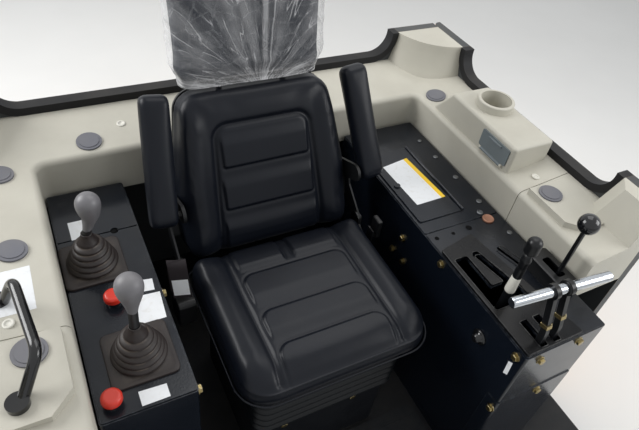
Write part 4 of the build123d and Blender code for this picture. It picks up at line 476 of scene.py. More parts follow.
def film_finish():
    """Clear crumpled film: nearly invisible face on, with a painted white reflection where it turns away and
    painted white highlights along its creases.
    """
    material, tree, body = new_material("Clear film")
    place = tree.place()
    point = tree.axes(place)
    across = tree.maths("SUBTRACT", point["X"], FILM_KNOT[0])
    above = tree.maths("SUBTRACT", point["Z"], HEAD_FOOT.z + FILM_KNOT[1])
    turn = tree.maths("ARCTAN2", across, tree.total(above, 0.02))
    squares = [tree.maths("POWER", side, 2.0) for side in (across, above)]
    reach = tree.maths("SQRT", tree.total(*squares))
    polar = tree.add("ShaderNodeCombineXYZ")
    tree.put(tree.product(turn, 4.0), polar.inputs["X"])
    tree.put(tree.product(reach, 3.0), polar.inputs["Y"])
    rays = tree.span(tree.noise(polar.outputs[0], 1.1, 3.0, 0.5), 0.44, 0.68)
    fine = tree.span(tree.noise(polar.outputs[0], 5.0, 3.0, 0.6), 0.54, 0.68)
    ridge = tree.maths("ABSOLUTE", tree.maths("SUBTRACT", tree.noise(polar.outputs[0], 1.6, 1.0), 0.5))
    broken = tree.span(tree.noise(place, 14.0, 1.0), 0.44, 0.56)
    sharp = tree.product(tree.span(ridge, 0.014, 0.0), broken)
    soft = tree.span(tree.noise(place, 16.0, 2.0), 0.35, 0.7)
    off_pleat = tree.maths("SUBTRACT", across, tree.maths("MULTIPLY_ADD", above, 0.02, 0.006))
    pleat = tree.span(tree.maths("ABSOLUTE", off_pleat), 0.009, 0.004)
    off_fold = tree.maths("SUBTRACT", across, tree.maths("MULTIPLY_ADD", above, 0.11, 0.014))
    fold = tree.span(tree.maths("ABSOLUTE", off_fold), 0.0035, 0.001)
    gathered = tree.span(above, 0.045, 0.0)
    crease = tree.span(tree.cells(place, 26.0, "DISTANCE_TO_EDGE"), 0.05, 0.0)
    streak = tree.total(tree.product(rays, 0.6), tree.product(fine, 0.22), clamp=True)
    # Painted reflection: the film turns opaque white where it faces away from the view, in place of its
    # reflection at a glancing angle
    facing = tree.add("ShaderNodeLayerWeight")
    facing.inputs["Blend"].default_value = 0.45
    turned = tree.span(facing.outputs["Facing"], 0.45, 1.0, 0.0, 0.6)
    # Painted highlights: opaque white along the creases, rays, pleat and folds, in place of the light that
    # these catch
    masks = (
        (crease, 0.08), (streak, 0.36), (pleat, 0.24), (fold, 0.26), (sharp, 0.34), (soft, 0.08),
        (tree.product(gathered, fine), 0.4), (gathered, 0.12),
    )
    painted_highlight_veil = tree.total(*(tree.product(mask, share) for mask, share in masks))
    alpha = tree.total(painted_highlight_veil, 0.05, turned, clamp=True)
    body.inputs["Base Color"].default_value = (*tone(226, 226, 228), 1)
    body.inputs["IOR"].default_value = 1.45
    tree.put(tree.span(streak, 0.0, 1.0, 0.14, 0.34), body.inputs["Roughness"])
    tree.put(alpha, body.inputs["Alpha"])
    add_bump(tree, body, tree.noise(place, 90.0, 5.0, 0.65), 0.002, 0.7)
    return material


FINISHES = {}
FINISH_NODES = {
    "floor": "floor_plate floor_frame seat_pedestal",
    "mat": "floor_mat",
    "walls": "wall_left wall_right wall_rear",
    "seal": "seal_left seal_right seal_rear",
    "lining": "lining_rear_left lining_rear_right lining_front_left lining_front_right cup_box",
    "vent": "vent_caps",
    "flap": "ashtray_flap",
    "console": (
        "console_right console_right_cover console_left console_left_cover console_left_front "
        "storage_lid storage_tray"
    ),
    "stop": "stop_buttons",
    "blade_knob": "blade_lever",
    "ripper_knob": "ripper_lever",
    "gate": "gate_plate",
    "black": "gear_lever gear_knob throttle_block steer_arms seat_pan belt_retractor belt_buckle",
    "gloss": "grab_handle throttle_lever",
    "chrome": "steer_bar",
    "steel": "lever_brackets_right lever_brackets_left seat_rails suspension_links",
    "shell": "back_shell head_posts arm_brackets",
}


# Mesh helpers
def piece(name, points, faces, body, look, smooth=True, ride=True):
    """A finished object from its points and faces, riding on a CAD body."""
    mesh = bpy.data.meshes.new(name)
    mesh.from_pydata([tuple(p) for p in points], [], faces)
    mesh.validate()
    mesh.update()
    return dress(mesh, name, body, look, smooth, ride)


def dress(mesh, name, body, look, smooth=True, ride=True):
    made = bpy.data.objects.new(name, mesh)
    bpy.context.scene.collection.objects.link(made)
    mesh.materials.clear()
    mesh.materials.append(FINISHES[look])
    if smooth:
        mesh.shade_smooth()
    if ride:
        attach(made, body)
    return made


class Shape:
    """Points and faces gathered from several turned, swept or flat forms."""

    def __init__(self):
        self.points = []
        self.faces = []

    def loops(self, rings, close_start=False, close_end=False, closed=True):
        """Skins equal rings of points one after another."""
        start, count = len(self.points), len(rings[0])
        for ring in rings:
            self.points += [Vector(p) for p in ring]
        for row in range(len(rings) - 1):
            a, b = start + row * count, start + (row + 1) * count
            for i in range(count if closed else count - 1):
                j = (i + 1) % count
                self.faces.append((a + i, a + j, b + j, b + i))
        if close_start:
            self.faces.append(tuple(reversed(range(start, start + count))))
        if close_end:
            last = start + (len(rings) - 1) * count
            self.faces.append(tuple(range(last, last + count)))

    def turned(self, profile, spot, sides=48, ends=(True, True)):
        """A profile of (radius, height) turned about the local Z of spot."""
        rings = []
        for radius, height in profile:
            ring = []
            for i in range(sides):
                turn = 2 * pi * i / sides
                ring.append(spot @ Vector((radius * cos(turn), radius * sin(turn), height)))
            rings.append(ring)
        self.loops(rings, *ends)

    def tube(self, path, radius, sides):
        """A round tube along a path of points."""
        path = [Vector(p) for p in path]
        rings = []
        ahead = (path[1] - path[0]).normalized()
        across = ahead.cross(Vector((0, 0, 1)))
        across = across.normalized() if across.length > 1e-4 else Vector((1, 0, 0))
        for i, point in enumerate(path):
            ahead = (path[min(i + 1, len(path) - 1)] - path[max(i - 1, 0)]).normalized()
            across = (across - ahead * across.dot(ahead)).normalized()
            rise = across.cross(ahead)
            ring = []
            for k in range(sides):
                turn = 2 * pi * k / sides
                ring.append(point + across * (radius * cos(turn)) + rise * (radius * sin(turn)))
            rings.append(ring)
        self.loops(rings, True, True)

    def made(self, name, body, look, smooth=True, ride=True):
        built = piece(name, self.points, self.faces, body, look, smooth, ride)
        with_normals(built.data)
        return built


def with_normals(mesh):
    """Turns all faces outwards."""
    work = bmesh.new()
    work.from_mesh(mesh)
    bmesh.ops.recalc_face_normals(work, faces=work.faces)
    work.to_mesh(mesh)
    work.free()


def turned_piece(name, profile, spot, sides, body, look):
    """A finished object turned from one profile."""
    shape = Shape()
    shape.turned(profile, spot, sides)
    return shape.made(name, body, look)


def sharpen(made, angle=30):
    """Smooth shading that keeps edges sharper than the angle."""
    mesh = made.data
    mesh.shade_smooth()
    work = bmesh.new()
    work.from_mesh(mesh)
    for edge in work.edges:
        edge.smooth = not (len(edge.link_faces) == 2 and edge.calc_face_angle(0) > radians(angle))
    work.to_mesh(mesh)
    work.free()


def rounded(corners, steps=8):
    """Outline points of a polygon with a radius at each corner, as a function of how far it lies inside."""
    arcs = []
    count = len(corners)
    for i, (x, y, radius) in enumerate(corners):
        here = Vector((x, y))
        before = (Vector(corners[i - 1][:2]) - here).normalized()
        after = (Vector(corners[(i + 1) % count][:2]) - here).normalized()
        half = math.acos(max(-1, min(1, before.dot(after)))) / 2
        centre = here + (before + after).normalized() * (radius / sin(half))
        start = here + before * (radius / math.tan(half)) - centre
        end = here + after * (radius / math.tan(half)) - centre
        turn = math.atan2(start.x * end.y - start.y * end.x, start.dot(end))
        for k in range(steps + 1):
            a = turn * k / steps
            out = Vector((start.x * cos(a) - start.y * sin(a), start.x * sin(a) + start.y * cos(a)))
            arcs.append((centre, radius, out.normalized()))
    return lambda inset: [c + n * (r - inset) for c, r, n in arcs]


def box_outline(low, high, inset, front, rear, steps=8):
    """The outline of a box in plan, set in on all sides, with its front and rear corner radii."""
    left, right = low.x + inset, high.x - inset
    near, far = low.y + inset, high.y - inset
    return rounded(((left, near, front), (right, near, front), (right, far, rear), (left, far, rear)), steps)


def slab(outline, low, high, low_edge, high_edge, steps=5):
    """A closed slab over an outline, its edges rounded, as a mesh in its own plan."""
    shape = Shape()
    rings = []
    turns = [pi / 2 * k / steps for k in range(steps + 1)]
    for a in turns:
        rings.append([(p.x, p.y, low + low_edge * (1 - cos(a))) for p in outline(low_edge * (1 - sin(a)))])
    for a in turns:
        inset = high_edge * (1 - cos(a))
        rings.append([(p.x, p.y, high - high_edge * (1 - sin(a))) for p in outline(inset)])
    shape.loops(rings, True, True)
    mesh = bpy.data.meshes.new("slab")
    mesh.from_pydata([tuple(p) for p in shape.points], [], shape.faces)
    with_normals(mesh)
    return mesh


def applied(made):
    """The object's mesh with its modifiers, in place of its own."""
    view = bpy.context.evaluated_depsgraph_get()
    mesh = bpy.data.meshes.new_from_object(made.evaluated_get(view))
    old = made.data
    made.modifiers.clear()
    made.data = mesh
    bpy.data.meshes.remove(old)
    return made


CLOTH_FRAMES = 20


def stuffed(mesh, name, sizes, pinned):
    """Voxel mesh of a slab, swollen by pressure within the cap, then divided once: the stuffed pad."""
    pad = bpy.data.objects.new(name, mesh)
    bpy.context.scene.collection.objects.link(pad)
    remesh = pad.modifiers.new("Remesh", "REMESH")
    remesh.mode = "VOXEL"
    remesh.voxel_size = sizes.voxel
    applied(pad)
    still = pad.vertex_groups.new(name="still")
    rest = coordinates(pad.data)
    still.add([i for i, p in enumerate(rest) if pinned(p)], 1.0, "REPLACE")
    cloth = pad.modifiers.new("Cloth", "CLOTH")
    cloth.settings.vertex_group_mass = "still"
    cloth.settings.use_pressure = True
    cloth.settings.uniform_pressure_force = 4.0
    cloth.settings.effector_weights.gravity = 0.0
    cloth.settings.quality = 5
    cloth.settings.tension_stiffness = 25.0
    cloth.point_cache.frame_start, cloth.point_cache.frame_end = 1, CLOTH_FRAMES
    scene = bpy.context.scene
    for step in range(1, CLOTH_FRAMES + 1):
        scene.frame_set(step)
    view = bpy.context.evaluated_depsgraph_get()
    grown = coordinates(pad.evaluated_get(view).data)
    pad.modifiers.clear()
    pad.vertex_groups.clear()
    move = grown - rest
    far = np.linalg.norm(move, axis=1, keepdims=True)
    move = evened(move * np.minimum(1.0, sizes.swell / np.maximum(far, 1e-9)), pad.data)
    pad.data.vertices.foreach_set("co", (rest + move).astype(np.float32).ravel())
    scene.frame_set(1)
    finer = pad.modifiers.new("Divide", "SUBSURF")
    finer.levels = finer.render_levels = 1
    mesh = applied(pad).data
    bpy.data.objects.remove(pad)
    return mesh


def coordinates(mesh):
    flat = np.zeros(len(mesh.vertices) * 3, np.float32)
    mesh.vertices.foreach_get("co", flat)
    return flat.reshape(-1, 3).astype(float)


def evened(move, mesh, times=6):
    """Each vertex's shift as the mean of its own and its neighbours', a few times over."""
    ends = np.array([edge.vertices for edge in mesh.edges])
    both = np.concatenate((ends, ends[:, ::-1]))
    count = 1 + np.bincount(both[:, 0], minlength=len(move))
    for _ in range(times):
        total = move.copy()
        np.add.at(total, both[:, 0], move[both[:, 1]])
        move = total / count[:, None]
    return move


def settle(mesh, points, matrix):
    """Writes points back and moves the mesh to its place in the part's frame."""
    mesh.vertices.foreach_set("co", points.astype(np.float32).ravel())
    mesh.transform(matrix)
    mesh.update()


def smooth_step(values, low, high):
    """Rises smoothly from 0 at low to 1 at high."""
    t = np.clip((values - low) / (high - low), 0, 1)
    return t * t * (3 - 2 * t)


def from_line(points, line):
    """Distance in plan of each point from a broken line."""
    best = np.full(len(points), 1e9)
    for a, b in zip(line, line[1:]):
        a, b = np.array(a, float), np.array(b, float)
        d = b - a
        t = np.clip(((points - a) @ d) / max(d @ d, 1e-12), 0, 1)
        best = np.minimum(best, np.linalg.norm(points - a - t[:, None] * d, axis=1))
    return best


def arc(centre, radius, start, end, steps=6):
    """Points of an arc in plan, its start and end in degrees."""
    turns = [radians(start + (end - start) * k / steps) for k in range(steps + 1)]
    return [(centre[0] + radius * cos(a), centre[1] + radius * sin(a)) for a in turns]


PANEL_WALL = 0.0065
GROOVE_OUT, GROOVE_WIDE, GROOVE_SHARE = 0.001, 0.0035, 0.3
CHANNEL_WIDE = 0.0075


def pressed(plan, sides, sharp, soft, corner, gentle):
    """How far a pressed panel stands up, 0 to 1, and the groove along its foot: it rises at once from its
    sides and its sharp edge, and falls off gently towards its soft one."""
    inward = (plan[:, 1] - sharp) * math.copysign(1, soft - sharp)
    middle, half = (sides[0] + sides[1]) / 2, (sides[1] - sides[0]) / 2
    over = np.stack((np.abs(plan[:, 0] - middle) - (half - corner), corner - inward), axis=1)
    outside = np.linalg.norm(np.maximum(over, 0), axis=1) + np.minimum(over.max(axis=1), 0) - corner
    fade = smooth_step(abs(soft - sharp) - inward, 0, gentle)
    groove = np.exp(-((outside - GROOVE_OUT) / GROOVE_WIDE) ** 2)
    return smooth_step(-outside, 0, PANEL_WALL) * fade, groove * fade


def panels_height(plan, panels, rise):
    """The height that a set of pressed panels gives to a pad."""
    up, groove = np.zeros(len(plan)), np.zeros(len(plan))
    for panel in panels:
        stands, cut = pressed(plan, *panel)
        up, groove = np.maximum(up, stands), np.maximum(groove, cut)
    return rise * (up - GROOVE_SHARE * groove)


# Seat cushion, in plan with its height above the pan
CUSHION_LOW, CUSHION_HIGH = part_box("seat_cushion")
CUSHION_TALL = CUSHION_HIGH.z - CUSHION_LOW.z
CUSHION_CHANNEL = 0.158
CUSHION_EDGE = 0.026
CUSHION_FRONT_DROP = 0.015
CUSHION_REAR_RISE = 0.86
CUSHION_PANELS = (
    # from x and to x, sharp edge, soft edge, corner radius, length of the fall
    ((-0.142, -0.013), 0.200, 0.066, 0.012, 0.024),
    ((0.011, 0.140), 0.200, 0.066, 0.012, 0.024),
    ((-0.143, 0.141), 0.058, -0.052, 0.030, 0.046),
    ((-0.143, 0.141), -0.058, -0.150, 0.032, 0.040),
    ((-0.143, 0.141), -0.156, -0.262, 0.034, 0.060),
)


def cushion_shape(points, sizes):
    """Bolsters, pressed panels, side channels and the rounded front of the cushion."""
    x, y, z = points.T
    plan = points[:, :2]
    top = smooth_step(z, CUSHION_TALL * 0.5, CUSHION_TALL * 0.88)
    out = np.abs(x)
    rise = sizes.bolster * smooth_step(out, CUSHION_CHANNEL, 0.200) * (1 - smooth_step(out, 0.214, 0.256))
    rise *= smooth_step(y, -0.262, -0.13)
    rise -= CUSHION_FRONT_DROP * smooth_step(-y, 0.165, 0.262) ** 1.5
    into_edge = np.clip(y - (CUSHION_HIGH.y - CUSHION_EDGE), 0, CUSHION_EDGE)
    fall = CUSHION_EDGE - np.sqrt(CUSHION_EDGE**2 - into_edge**2)
    rise += CUSHION_REAR_RISE * fall * (1 - smooth_step(out, 0.17, 0.24))
    rise += panels_height(plan, CUSHION_PANELS, sizes.panel)
    for side in (1, -1):
        x_at = side * CUSHION_CHANNEL
        line = [(x_at, 0.20), (x_at, -0.19), (x_at + side * 0.004, -0.236)]
        rise -= sizes.crease * 0.9 * np.exp(-(from_line(plan, line) / CHANNEL_WIDE) ** 2)
    points[:, 2] += (rise - 0.004) * top
    return points


ACROSS = Vector((1, 0, 0))
START_INSET = 0.003

# Backrest, in its own plane: across, up it, and forward from its cushion's rear face
RECLINE = radians(22.5)
HINGE = at(0, 172, 468)
BACK_UP = Vector((0, sin(RECLINE), cos(RECLINE)))
BACK_AHEAD = Vector((0, -cos(RECLINE), sin(RECLINE)))
BACK_THICK = 0.068
BACK_FACE = 0.008
BACK_FOOT, BACK_TOP = 0.014, 0.432
BACK_SAG = 0.018
BACK_LOW, BACK_HIGH = 0.240, 0.199
BACK_PANELS = (
    # from x and to x, sharp lower edge, soft upper edge, corner radius, length of the fall
    ((-0.117, 0.119), 0.233, 0.326, 0.010, 0.034),
    ((-0.124, 0.126), 0.122, 0.216, 0.010, 0.034),
    ((-0.131, 0.133), 0.012, 0.104, 0.010, 0.034),
)


def frame_of(origin, across, up):
    """The matrix of a drawing plane from its origin and two directions."""
    out = across.cross(up)
    return Matrix((
        (across.x, up.x, out.x, origin.x),
        (across.y, up.y, out.y, origin.y),
        (across.z, up.z, out.z, origin.z),
        (0, 0, 0, 1),
    ))


def back_shape(points, sizes):
    """Side bolsters, three pressed panels and the channel round them."""
    x, y, z = points.T
    plan = points[:, :2]
    top = smooth_step(z, BACK_THICK * 0.4, BACK_THICK * 0.85)
    rise = 0.014 * smooth_step(np.abs(x), 0.138, 0.186) * (1 - smooth_step(np.abs(x), 0.196, 0.242))
    rise *= 1 - smooth_step(y, 0.33, 0.42)
    rise += panels_height(plan, BACK_PANELS, sizes.panel)
    corner = 0.036
    top_edge, half_top, half_foot = 0.342, 0.129, 0.147
    channel = [(-half_foot, 0.0), (-half_top, top_edge - corner)]
    channel += arc((-half_top + corner, top_edge - corner), corner, 180, 90)
    channel += arc((half_top - corner, top_edge - corner), corner, 90, 0) + [(half_foot, 0.0)]
    rise -= sizes.crease * 1.1 * np.exp(-(from_line(plan, channel) / CHANNEL_WIDE) ** 2)
    points[:, 2] += (rise - 0.003) * top
    near_foot = 1 - smooth_step(y, BACK_FOOT, BACK_FOOT + 0.07)
    points[:, 1] -= BACK_SAG * smooth_step(z, 0.010, 0.040) * near_foot
    return points


HEAD_TILT = radians(9)
HEAD_FOOT = at(0, 358, 868)
HEAD_UP = Vector((0, sin(HEAD_TILT), cos(HEAD_TILT)))
HEAD_AHEAD = Vector((0, -cos(HEAD_TILT), sin(HEAD_TILT)))
HEAD_HALF, HEAD_TALL, HEAD_THICK = 0.186, 0.275, 0.082
HEAD_FOOT_CORNER, HEAD_TOP_CORNER = 0.030, 0.062
FILM_KNOT = (0.018, -0.010)


FILM_SIDES, FILM_ROWS = 190, 74
FILM_CLEAR = 0.006
FILM_CLOSES, FILM_TOP = 0.78, 0.22


def film_points():
    """The film over the head part: rings from the open foot to the closed top, crumpled towards the knot."""
    rings = []
    for row in range(FILM_ROWS + 1):
        share = row / FILM_ROWS
        if share < FILM_CLOSES:
            height, tight = -0.010 + (HEAD_TALL + 0.008) * share / FILM_CLOSES, 1.0
        else:
            height = HEAD_TALL - 0.002 + 0.006 * (share - FILM_CLOSES) / FILM_TOP
            tight = max(0.02, 1 - (share - FILM_CLOSES) / FILM_TOP)
        lower = smooth_step(height, 0.0, 0.045)
        upper = 1 - smooth_step(height, HEAD_TALL - HEAD_TOP_CORNER, HEAD_TALL + 0.004)
        half = (HEAD_HALF + FILM_CLEAR) * (0.91 + 0.09 * lower) * (0.80 + 0.20 * upper) * tight
        deep = (HEAD_THICK / 2 + FILM_CLEAR) * (0.76 + 0.24 * lower) * (0.62 + 0.38 * upper) * tight
        ring = []
        for i in range(FILM_SIDES):
            a = 2 * pi * i / FILM_SIDES
            c, s = cos(a), sin(a)
            x = half * math.copysign(abs(c) ** 0.38, c)
            out = deep * math.copysign(abs(s) ** 0.38, s)
            spot = Vector((x, height, out))
            away = Vector((x - FILM_KNOT[0], height - FILM_KNOT[1], 0))
            turn = math.atan2(away.y, away.x)
            fan = 1 - abs(sin(turn * 8 + 1.7 * noise.noise(spot * 9)))
            fan += 0.6 * (1 - abs(sin(turn * 19 + 2.3 * noise.noise(spot * 13 + Vector((5, 1, 2))))))
            crumple = noise.ridged_multi_fractal(spot * 22 + Vector((3, 7, 1)), 0.9, 2.1, 4, 1.0, 2.0)
            pleat = math.exp(-((x - 0.022 - 0.02 * height) / 0.007) ** 2) if s > 0 else 0.0
            lift = 0.0045 * fan * math.exp(-away.length / 0.25) + 0.0022 * min(crumple, 1.6) + 0.010 * pleat
            n = Vector((x / max(half, 1e-4) ** 2, 0, out / max(deep, 1e-4) ** 2))
            n = n.normalized() if n.length > 1e-6 else Vector((0, 1, 0))
            up = 0.6 * (1 - tight)
            ring.append(spot + (n + Vector((0, up, 0))) * lift)
        rings.append(ring)
    return rings


class StationPaint(bpy.types.Operator):
    """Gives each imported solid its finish"""

    bl_idname = "station.paint"
    bl_label = "Paint the solids"

    def execute(self, context):
        FINISHES.clear()
        FINISHES.update(make_finishes(context.scene.station_colours))
        for look, nodes in FINISH_NODES.items():
            for node in nodes.split():
                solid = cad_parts[node]
                solid.data.materials.clear()
                solid.data.materials.append(FINISHES[look])
        return {"FINISHED"}


class StationSeat(bpy.types.Operator):
    """Builds the seat cushion with its pressed panels and piping"""

    bl_idname = "station.seat"
    bl_label = "Seat cushion"

    def execute(self, context):
        sizes = context.scene.station_sizes
        low = CUSHION_LOW
        outline = box_outline(low, CUSHION_HIGH, START_INSET, 0.074, 0.030)
        mesh = slab(outline, 0.0, CUSHION_TALL - START_INSET, 0.008, CUSHION_EDGE)
        mesh = stuffed(mesh, "cushion work", sizes, lambda p: p[2] < 0.012)
        points = cushion_shape(coordinates(mesh), sizes)
        settle(mesh, points, Matrix.Translation((0, 0, low.z)))
        cushion = dress(mesh, "seat_cushion_vinyl", "seat", "vinyl")
        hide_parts("seat_cushion")
        shape = Shape()
        path = [Vector((p.x, p.y, low.z + 0.012)) for p in outline(-0.0055)]
        shape.tube(path + path[:2], sizes.piping, 8)
        shape.made("seat_piping", "seat", "vinyl")
        return {"FINISHED"}


class StationBack(bpy.types.Operator):
    """Builds the backrest cushion with its three pressed panels"""

    bl_idname = "station.back"
    bl_label = "Backrest"

    def execute(self, context):
        sizes = context.scene.station_sizes
        wide, narrow = BACK_LOW - START_INSET, BACK_HIGH - START_INSET
        foot, top = BACK_FOOT + START_INSET, BACK_TOP - START_INSET
        outline = rounded((
            (-wide, foot, 0.038), (wide, foot, 0.038), (wide, 0.190, 0.118), (narrow, top, 0.056),
            (-narrow, top, 0.056), (-wide, 0.190, 0.118),
        ), 6)
        mesh = slab(outline, 0.0, BACK_THICK - 0.002, 0.006, 0.026)
        mesh = stuffed(mesh, "backrest work", sizes, lambda p: p[2] < 0.010)
        points = back_shape(coordinates(mesh), sizes)
        origin = HINGE + BACK_AHEAD * (BACK_FACE - BACK_THICK)
        settle(mesh, points, frame_of(origin, ACROSS, BACK_UP))
        back = dress(mesh, "back_cushion_vinyl", "backrest", "vinyl")
        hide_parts("back_cushion")
        return {"FINISHED"}


class StationHead(bpy.types.Operator):
    """Builds the head part and the clear film bag over it"""

    bl_idname = "station.head"
    bl_label = "Head part and film"

    def execute(self, context):
        sizes = context.scene.station_sizes
        foot, top = HEAD_FOOT_CORNER, HEAD_TOP_CORNER
        outline = rounded((
            (-HEAD_HALF, 0, foot), (HEAD_HALF, 0, foot),
            (HEAD_HALF, HEAD_TALL, top), (-HEAD_HALF, HEAD_TALL, top),
        ), 6)
        mesh = slab(outline, 0.002, HEAD_THICK - 0.002, 0.024, 0.026)
        mesh = stuffed(mesh, "head work", sizes, lambda p: abs(p[0]) < 0.1 and p[1] < 0.004)
        settle(mesh, coordinates(mesh), frame_of(HEAD_FOOT - HEAD_AHEAD * HEAD_THICK, ACROSS, HEAD_UP))
        head = dress(mesh, "head_part_cloth", "headrest", "head")
        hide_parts("head_part")
        place = frame_of(HEAD_FOOT - HEAD_AHEAD * (HEAD_THICK / 2), ACROSS, HEAD_UP)
        shape = Shape()
        shape.loops([[place @ p for p in ring] for ring in film_points()])
        film = shape.made("head_film", "headrest", "film")
        return {"FINISHED"}


class StationArmrests(bpy.types.Operator):
    """Builds both armrest pads"""

    bl_idname = "station.armrests"
    bl_label = "Armrests"

    def execute(self, context):
        sizes = context.scene.station_sizes
        tilt, splay = radians(27.7), radians(6)
        up, ahead = Vector((0, sin(tilt), cos(tilt))), Vector((0, -cos(tilt), sin(tilt)))
        for side, name in ((1, "left"), (-1, "right")):
            lean = up * cos(splay) - Vector((side * sin(splay), 0, 0))
            outline = rounded((
                (-0.028, -0.024, 0.026), (0.028, -0.024, 0.026),
                (0.0275, 0.288, 0.0235), (-0.0275, 0.288, 0.0235),
            ), 7)
            mesh = slab(outline, -0.033, 0.033, 0.015, 0.015)
            mesh = stuffed(mesh, f"armrest work {name}", sizes, lambda p: p[1] < -0.01)
            points = coordinates(mesh)
            seam = np.abs(points[:, 0] + 0.012)
            side_on = smooth_step(np.abs(points[:, 2]), 0.028, 0.034)
            points[:, 2] -= np.sign(points[:, 2]) * 0.0012 * np.exp(-((seam / 0.003) ** 2)) * side_on
            settle(mesh, points, frame_of(at(side * 286, 196, 628), ahead, lean))
            pad = dress(mesh, f"armrest_{name}_pad", f"{name}_armrest", "vinyl")
            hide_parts(f"armrest_{name}")
        return {"FINISHED"}


LEVERS = (
    # name, x and y of its foot, shift of its knob, height of the knob's centre
    ("blade", -423.0, -108.0, 3.0, 788.0),
    ("ripper", -460.0, 165.0, 16.0, 752.0),
)
# Radii at the foot of the boot's folds, in mm, and of its cone with their heights
BOOT_VALLEYS = (52.0, 47.5, 42.0, 36.5, 30.0, 22.5)
FOLD_TALL, FOLD_DEEP, FOLD_STEPS = 13.0, 6.0, 10
BOOT_START = 7.0
BOOT_CONE = [
    (22.5, 72.0), (22.8, 74.0), (20.6, 78.0), (17.4, 84.0), (14.6, 90.0), (12.9, 95.0), (12.3, 98.0),
    (12.0, 100.0), (10.6, 100.6), (9.9, 99.6),
]


def square_reach(turn, half, corner):
    """How far a square with round corners reaches from its middle along a turn."""
    along, across = sorted((abs(cos(turn)), abs(sin(turn))), reverse=True)
    straight = half / along
    if straight * across <= half - corner:
        return straight
    middle = (half - corner) * (along + across)
    return middle + math.sqrt(middle**2 - 2 * (half - corner) ** 2 + corner**2)


class StationBoots(bpy.types.Operator):
    """Builds the bellows boots of both console levers and the seat's bellows"""

    bl_idname = "station.boots"
    bl_label = "Rubber bellows"

    def execute(self, context):
        sides = 88
        turns = [2 * pi * (i + 0.5) / sides for i in range(sides)]
        for name, x, y, _, _ in LEVERS:
            profile = [(55.5, 6.2), (54.0, BOOT_START)]
            for k, (low, high) in enumerate(zip(BOOT_VALLEYS, BOOT_VALLEYS[1:])):
                for step in range(FOLD_STEPS):
                    a = step / FOLD_STEPS
                    radius = low + (high - low) * a + sin(pi * a) ** 0.75 * FOLD_DEEP
                    profile.append((radius, BOOT_START + FOLD_TALL * (k + a)))
            profile += BOOT_CONE
            spot = at(x, y, CONSOLE_TOP * 1000)
            shape = Shape()
            rings = []
            for inset, z in ((0.0, 0.2), (0.0, 4.4), (0.6, 5.6), (2.0, 6.2), (8.0, 6.3)):
                reach = [square_reach(a, 67.0 - inset, 14.0) for a in turns]
                corners = [Vector((r * cos(a), r * sin(a), z)) for r, a in zip(reach, turns)]
                rings.append([spot + corner / 1000 for corner in corners])
            for radius, z in profile:
                rings.append([spot + Vector((radius * cos(a), radius * sin(a), z)) / 1000 for a in turns])
            shape.loops(rings)
            boot = shape.made(f"{name}_boot_rubber", "station", "boot", ride=False)
            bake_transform(boot)
            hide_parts(f"{name}_boot")
        low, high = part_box("seat_bellows")
        tall, folds, depth = high.z - low.z, 6, 0.009
        outline = box_outline(low, high, depth, 0.030, 0.030)
        rings = []
        rows = folds * 12
        for row in range(rows + 1):
            share = row / rows
            out = depth * (0.5 - 0.5 * cos(2 * pi * folds * share)) ** 0.8
            rings.append([Vector((p.x, p.y, low.z + tall * share)) for p in outline(-out)])
        shape = Shape()
        shape.loops(rings)
        bellows = shape.made("seat_bellows_rubber", "station", "bellows")
        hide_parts("seat_bellows")
        return {"FINISHED"}


LABELS = (
    # name, finish, corners x and y in mm, height in mm
    ("label_lining", "label", ((-632, 105), (-579, 110), (-580, -4), (-642, -8)), None),
    ("label_ripper", "label", ((-492, 313), (-459, 313), (-459, 252), (-492, 252)), 570),
    ("label_small", "label", ((-371, 78), (-350, 75), (-353, 42), (-376, 45)), 570),
    ("label_blade", "label", ((-406, 38), (-344, 33), (-349, -39), (-411, -39)), 570),
    ("label_front", "label", ((-446, -188), (-392, -191), (-392, -220), (-446, -220)), 570),
    ("label_lid", "label", ((371, 243), (450, 256), (463, 72), (378, 70)), 574),
    ("label_lid_strip", "yellow", ((450, 256), (464, 258), (477, 73), (463, 72)), 574),
)


class StationLabels(bpy.types.Operator):
    """Sticks the blank labels on the lining and the consoles"""

    bl_idname = "station.labels"
    bl_label = "Blank labels"

    def execute(self, context):
        for name, look, corners, height in LABELS:
            body = "lid" if "lid" in name else "station"
            shape = Shape()
            if height is None:
                base = [on_lining(x, y) for x, y in corners]
            else:
                base = [at(x, y, height) for x, y in corners]
            rings = [[p + Vector((0, 0, rise)) for p in base] for rise in (0.0, 0.00035)]
            shape.loops(rings, True, True)
            shape.made(name, body, look, smooth=False)
        shape = Shape()
        corners = ((-405, 469), (-402, 514), (-413, 521), (-416, 476))
        rings = [[at(336 - out, y, z) for y, z in corners] for out in (0.0, 0.35)]
        shape.loops(rings, True, True)
        shape.made("label_side", "station", "label", smooth=False)
        return {"FINISHED"}


LINING_EDGE, LINING_RISE = 667, 23
LINING_SLOPES = {
    # inner edge and width of each sloping top, in mm
    "right": (530, 232),
    "left": (595, 167),
    "rear": (435, 177),
}


def on_lining(x, y, side=None):
    """The point of the lining straight above or below x and y, in mm."""
    inner, wide = LINING_SLOPES[side or ("right" if x < 0 else "left")]
    out = y if side == "rear" else abs(x)
    return at(x, y, LINING_EDGE + (out - inner) * LINING_RISE / wide)


def facing(point, out, spin=0.0):
    """A place at a point whose Z looks along out."""
    turn = Vector(out).to_track_quat("Z", "Y").to_matrix().to_4x4()
    return Matrix.Translation(point) @ turn @ Matrix.Rotation(spin, 4, "Z")


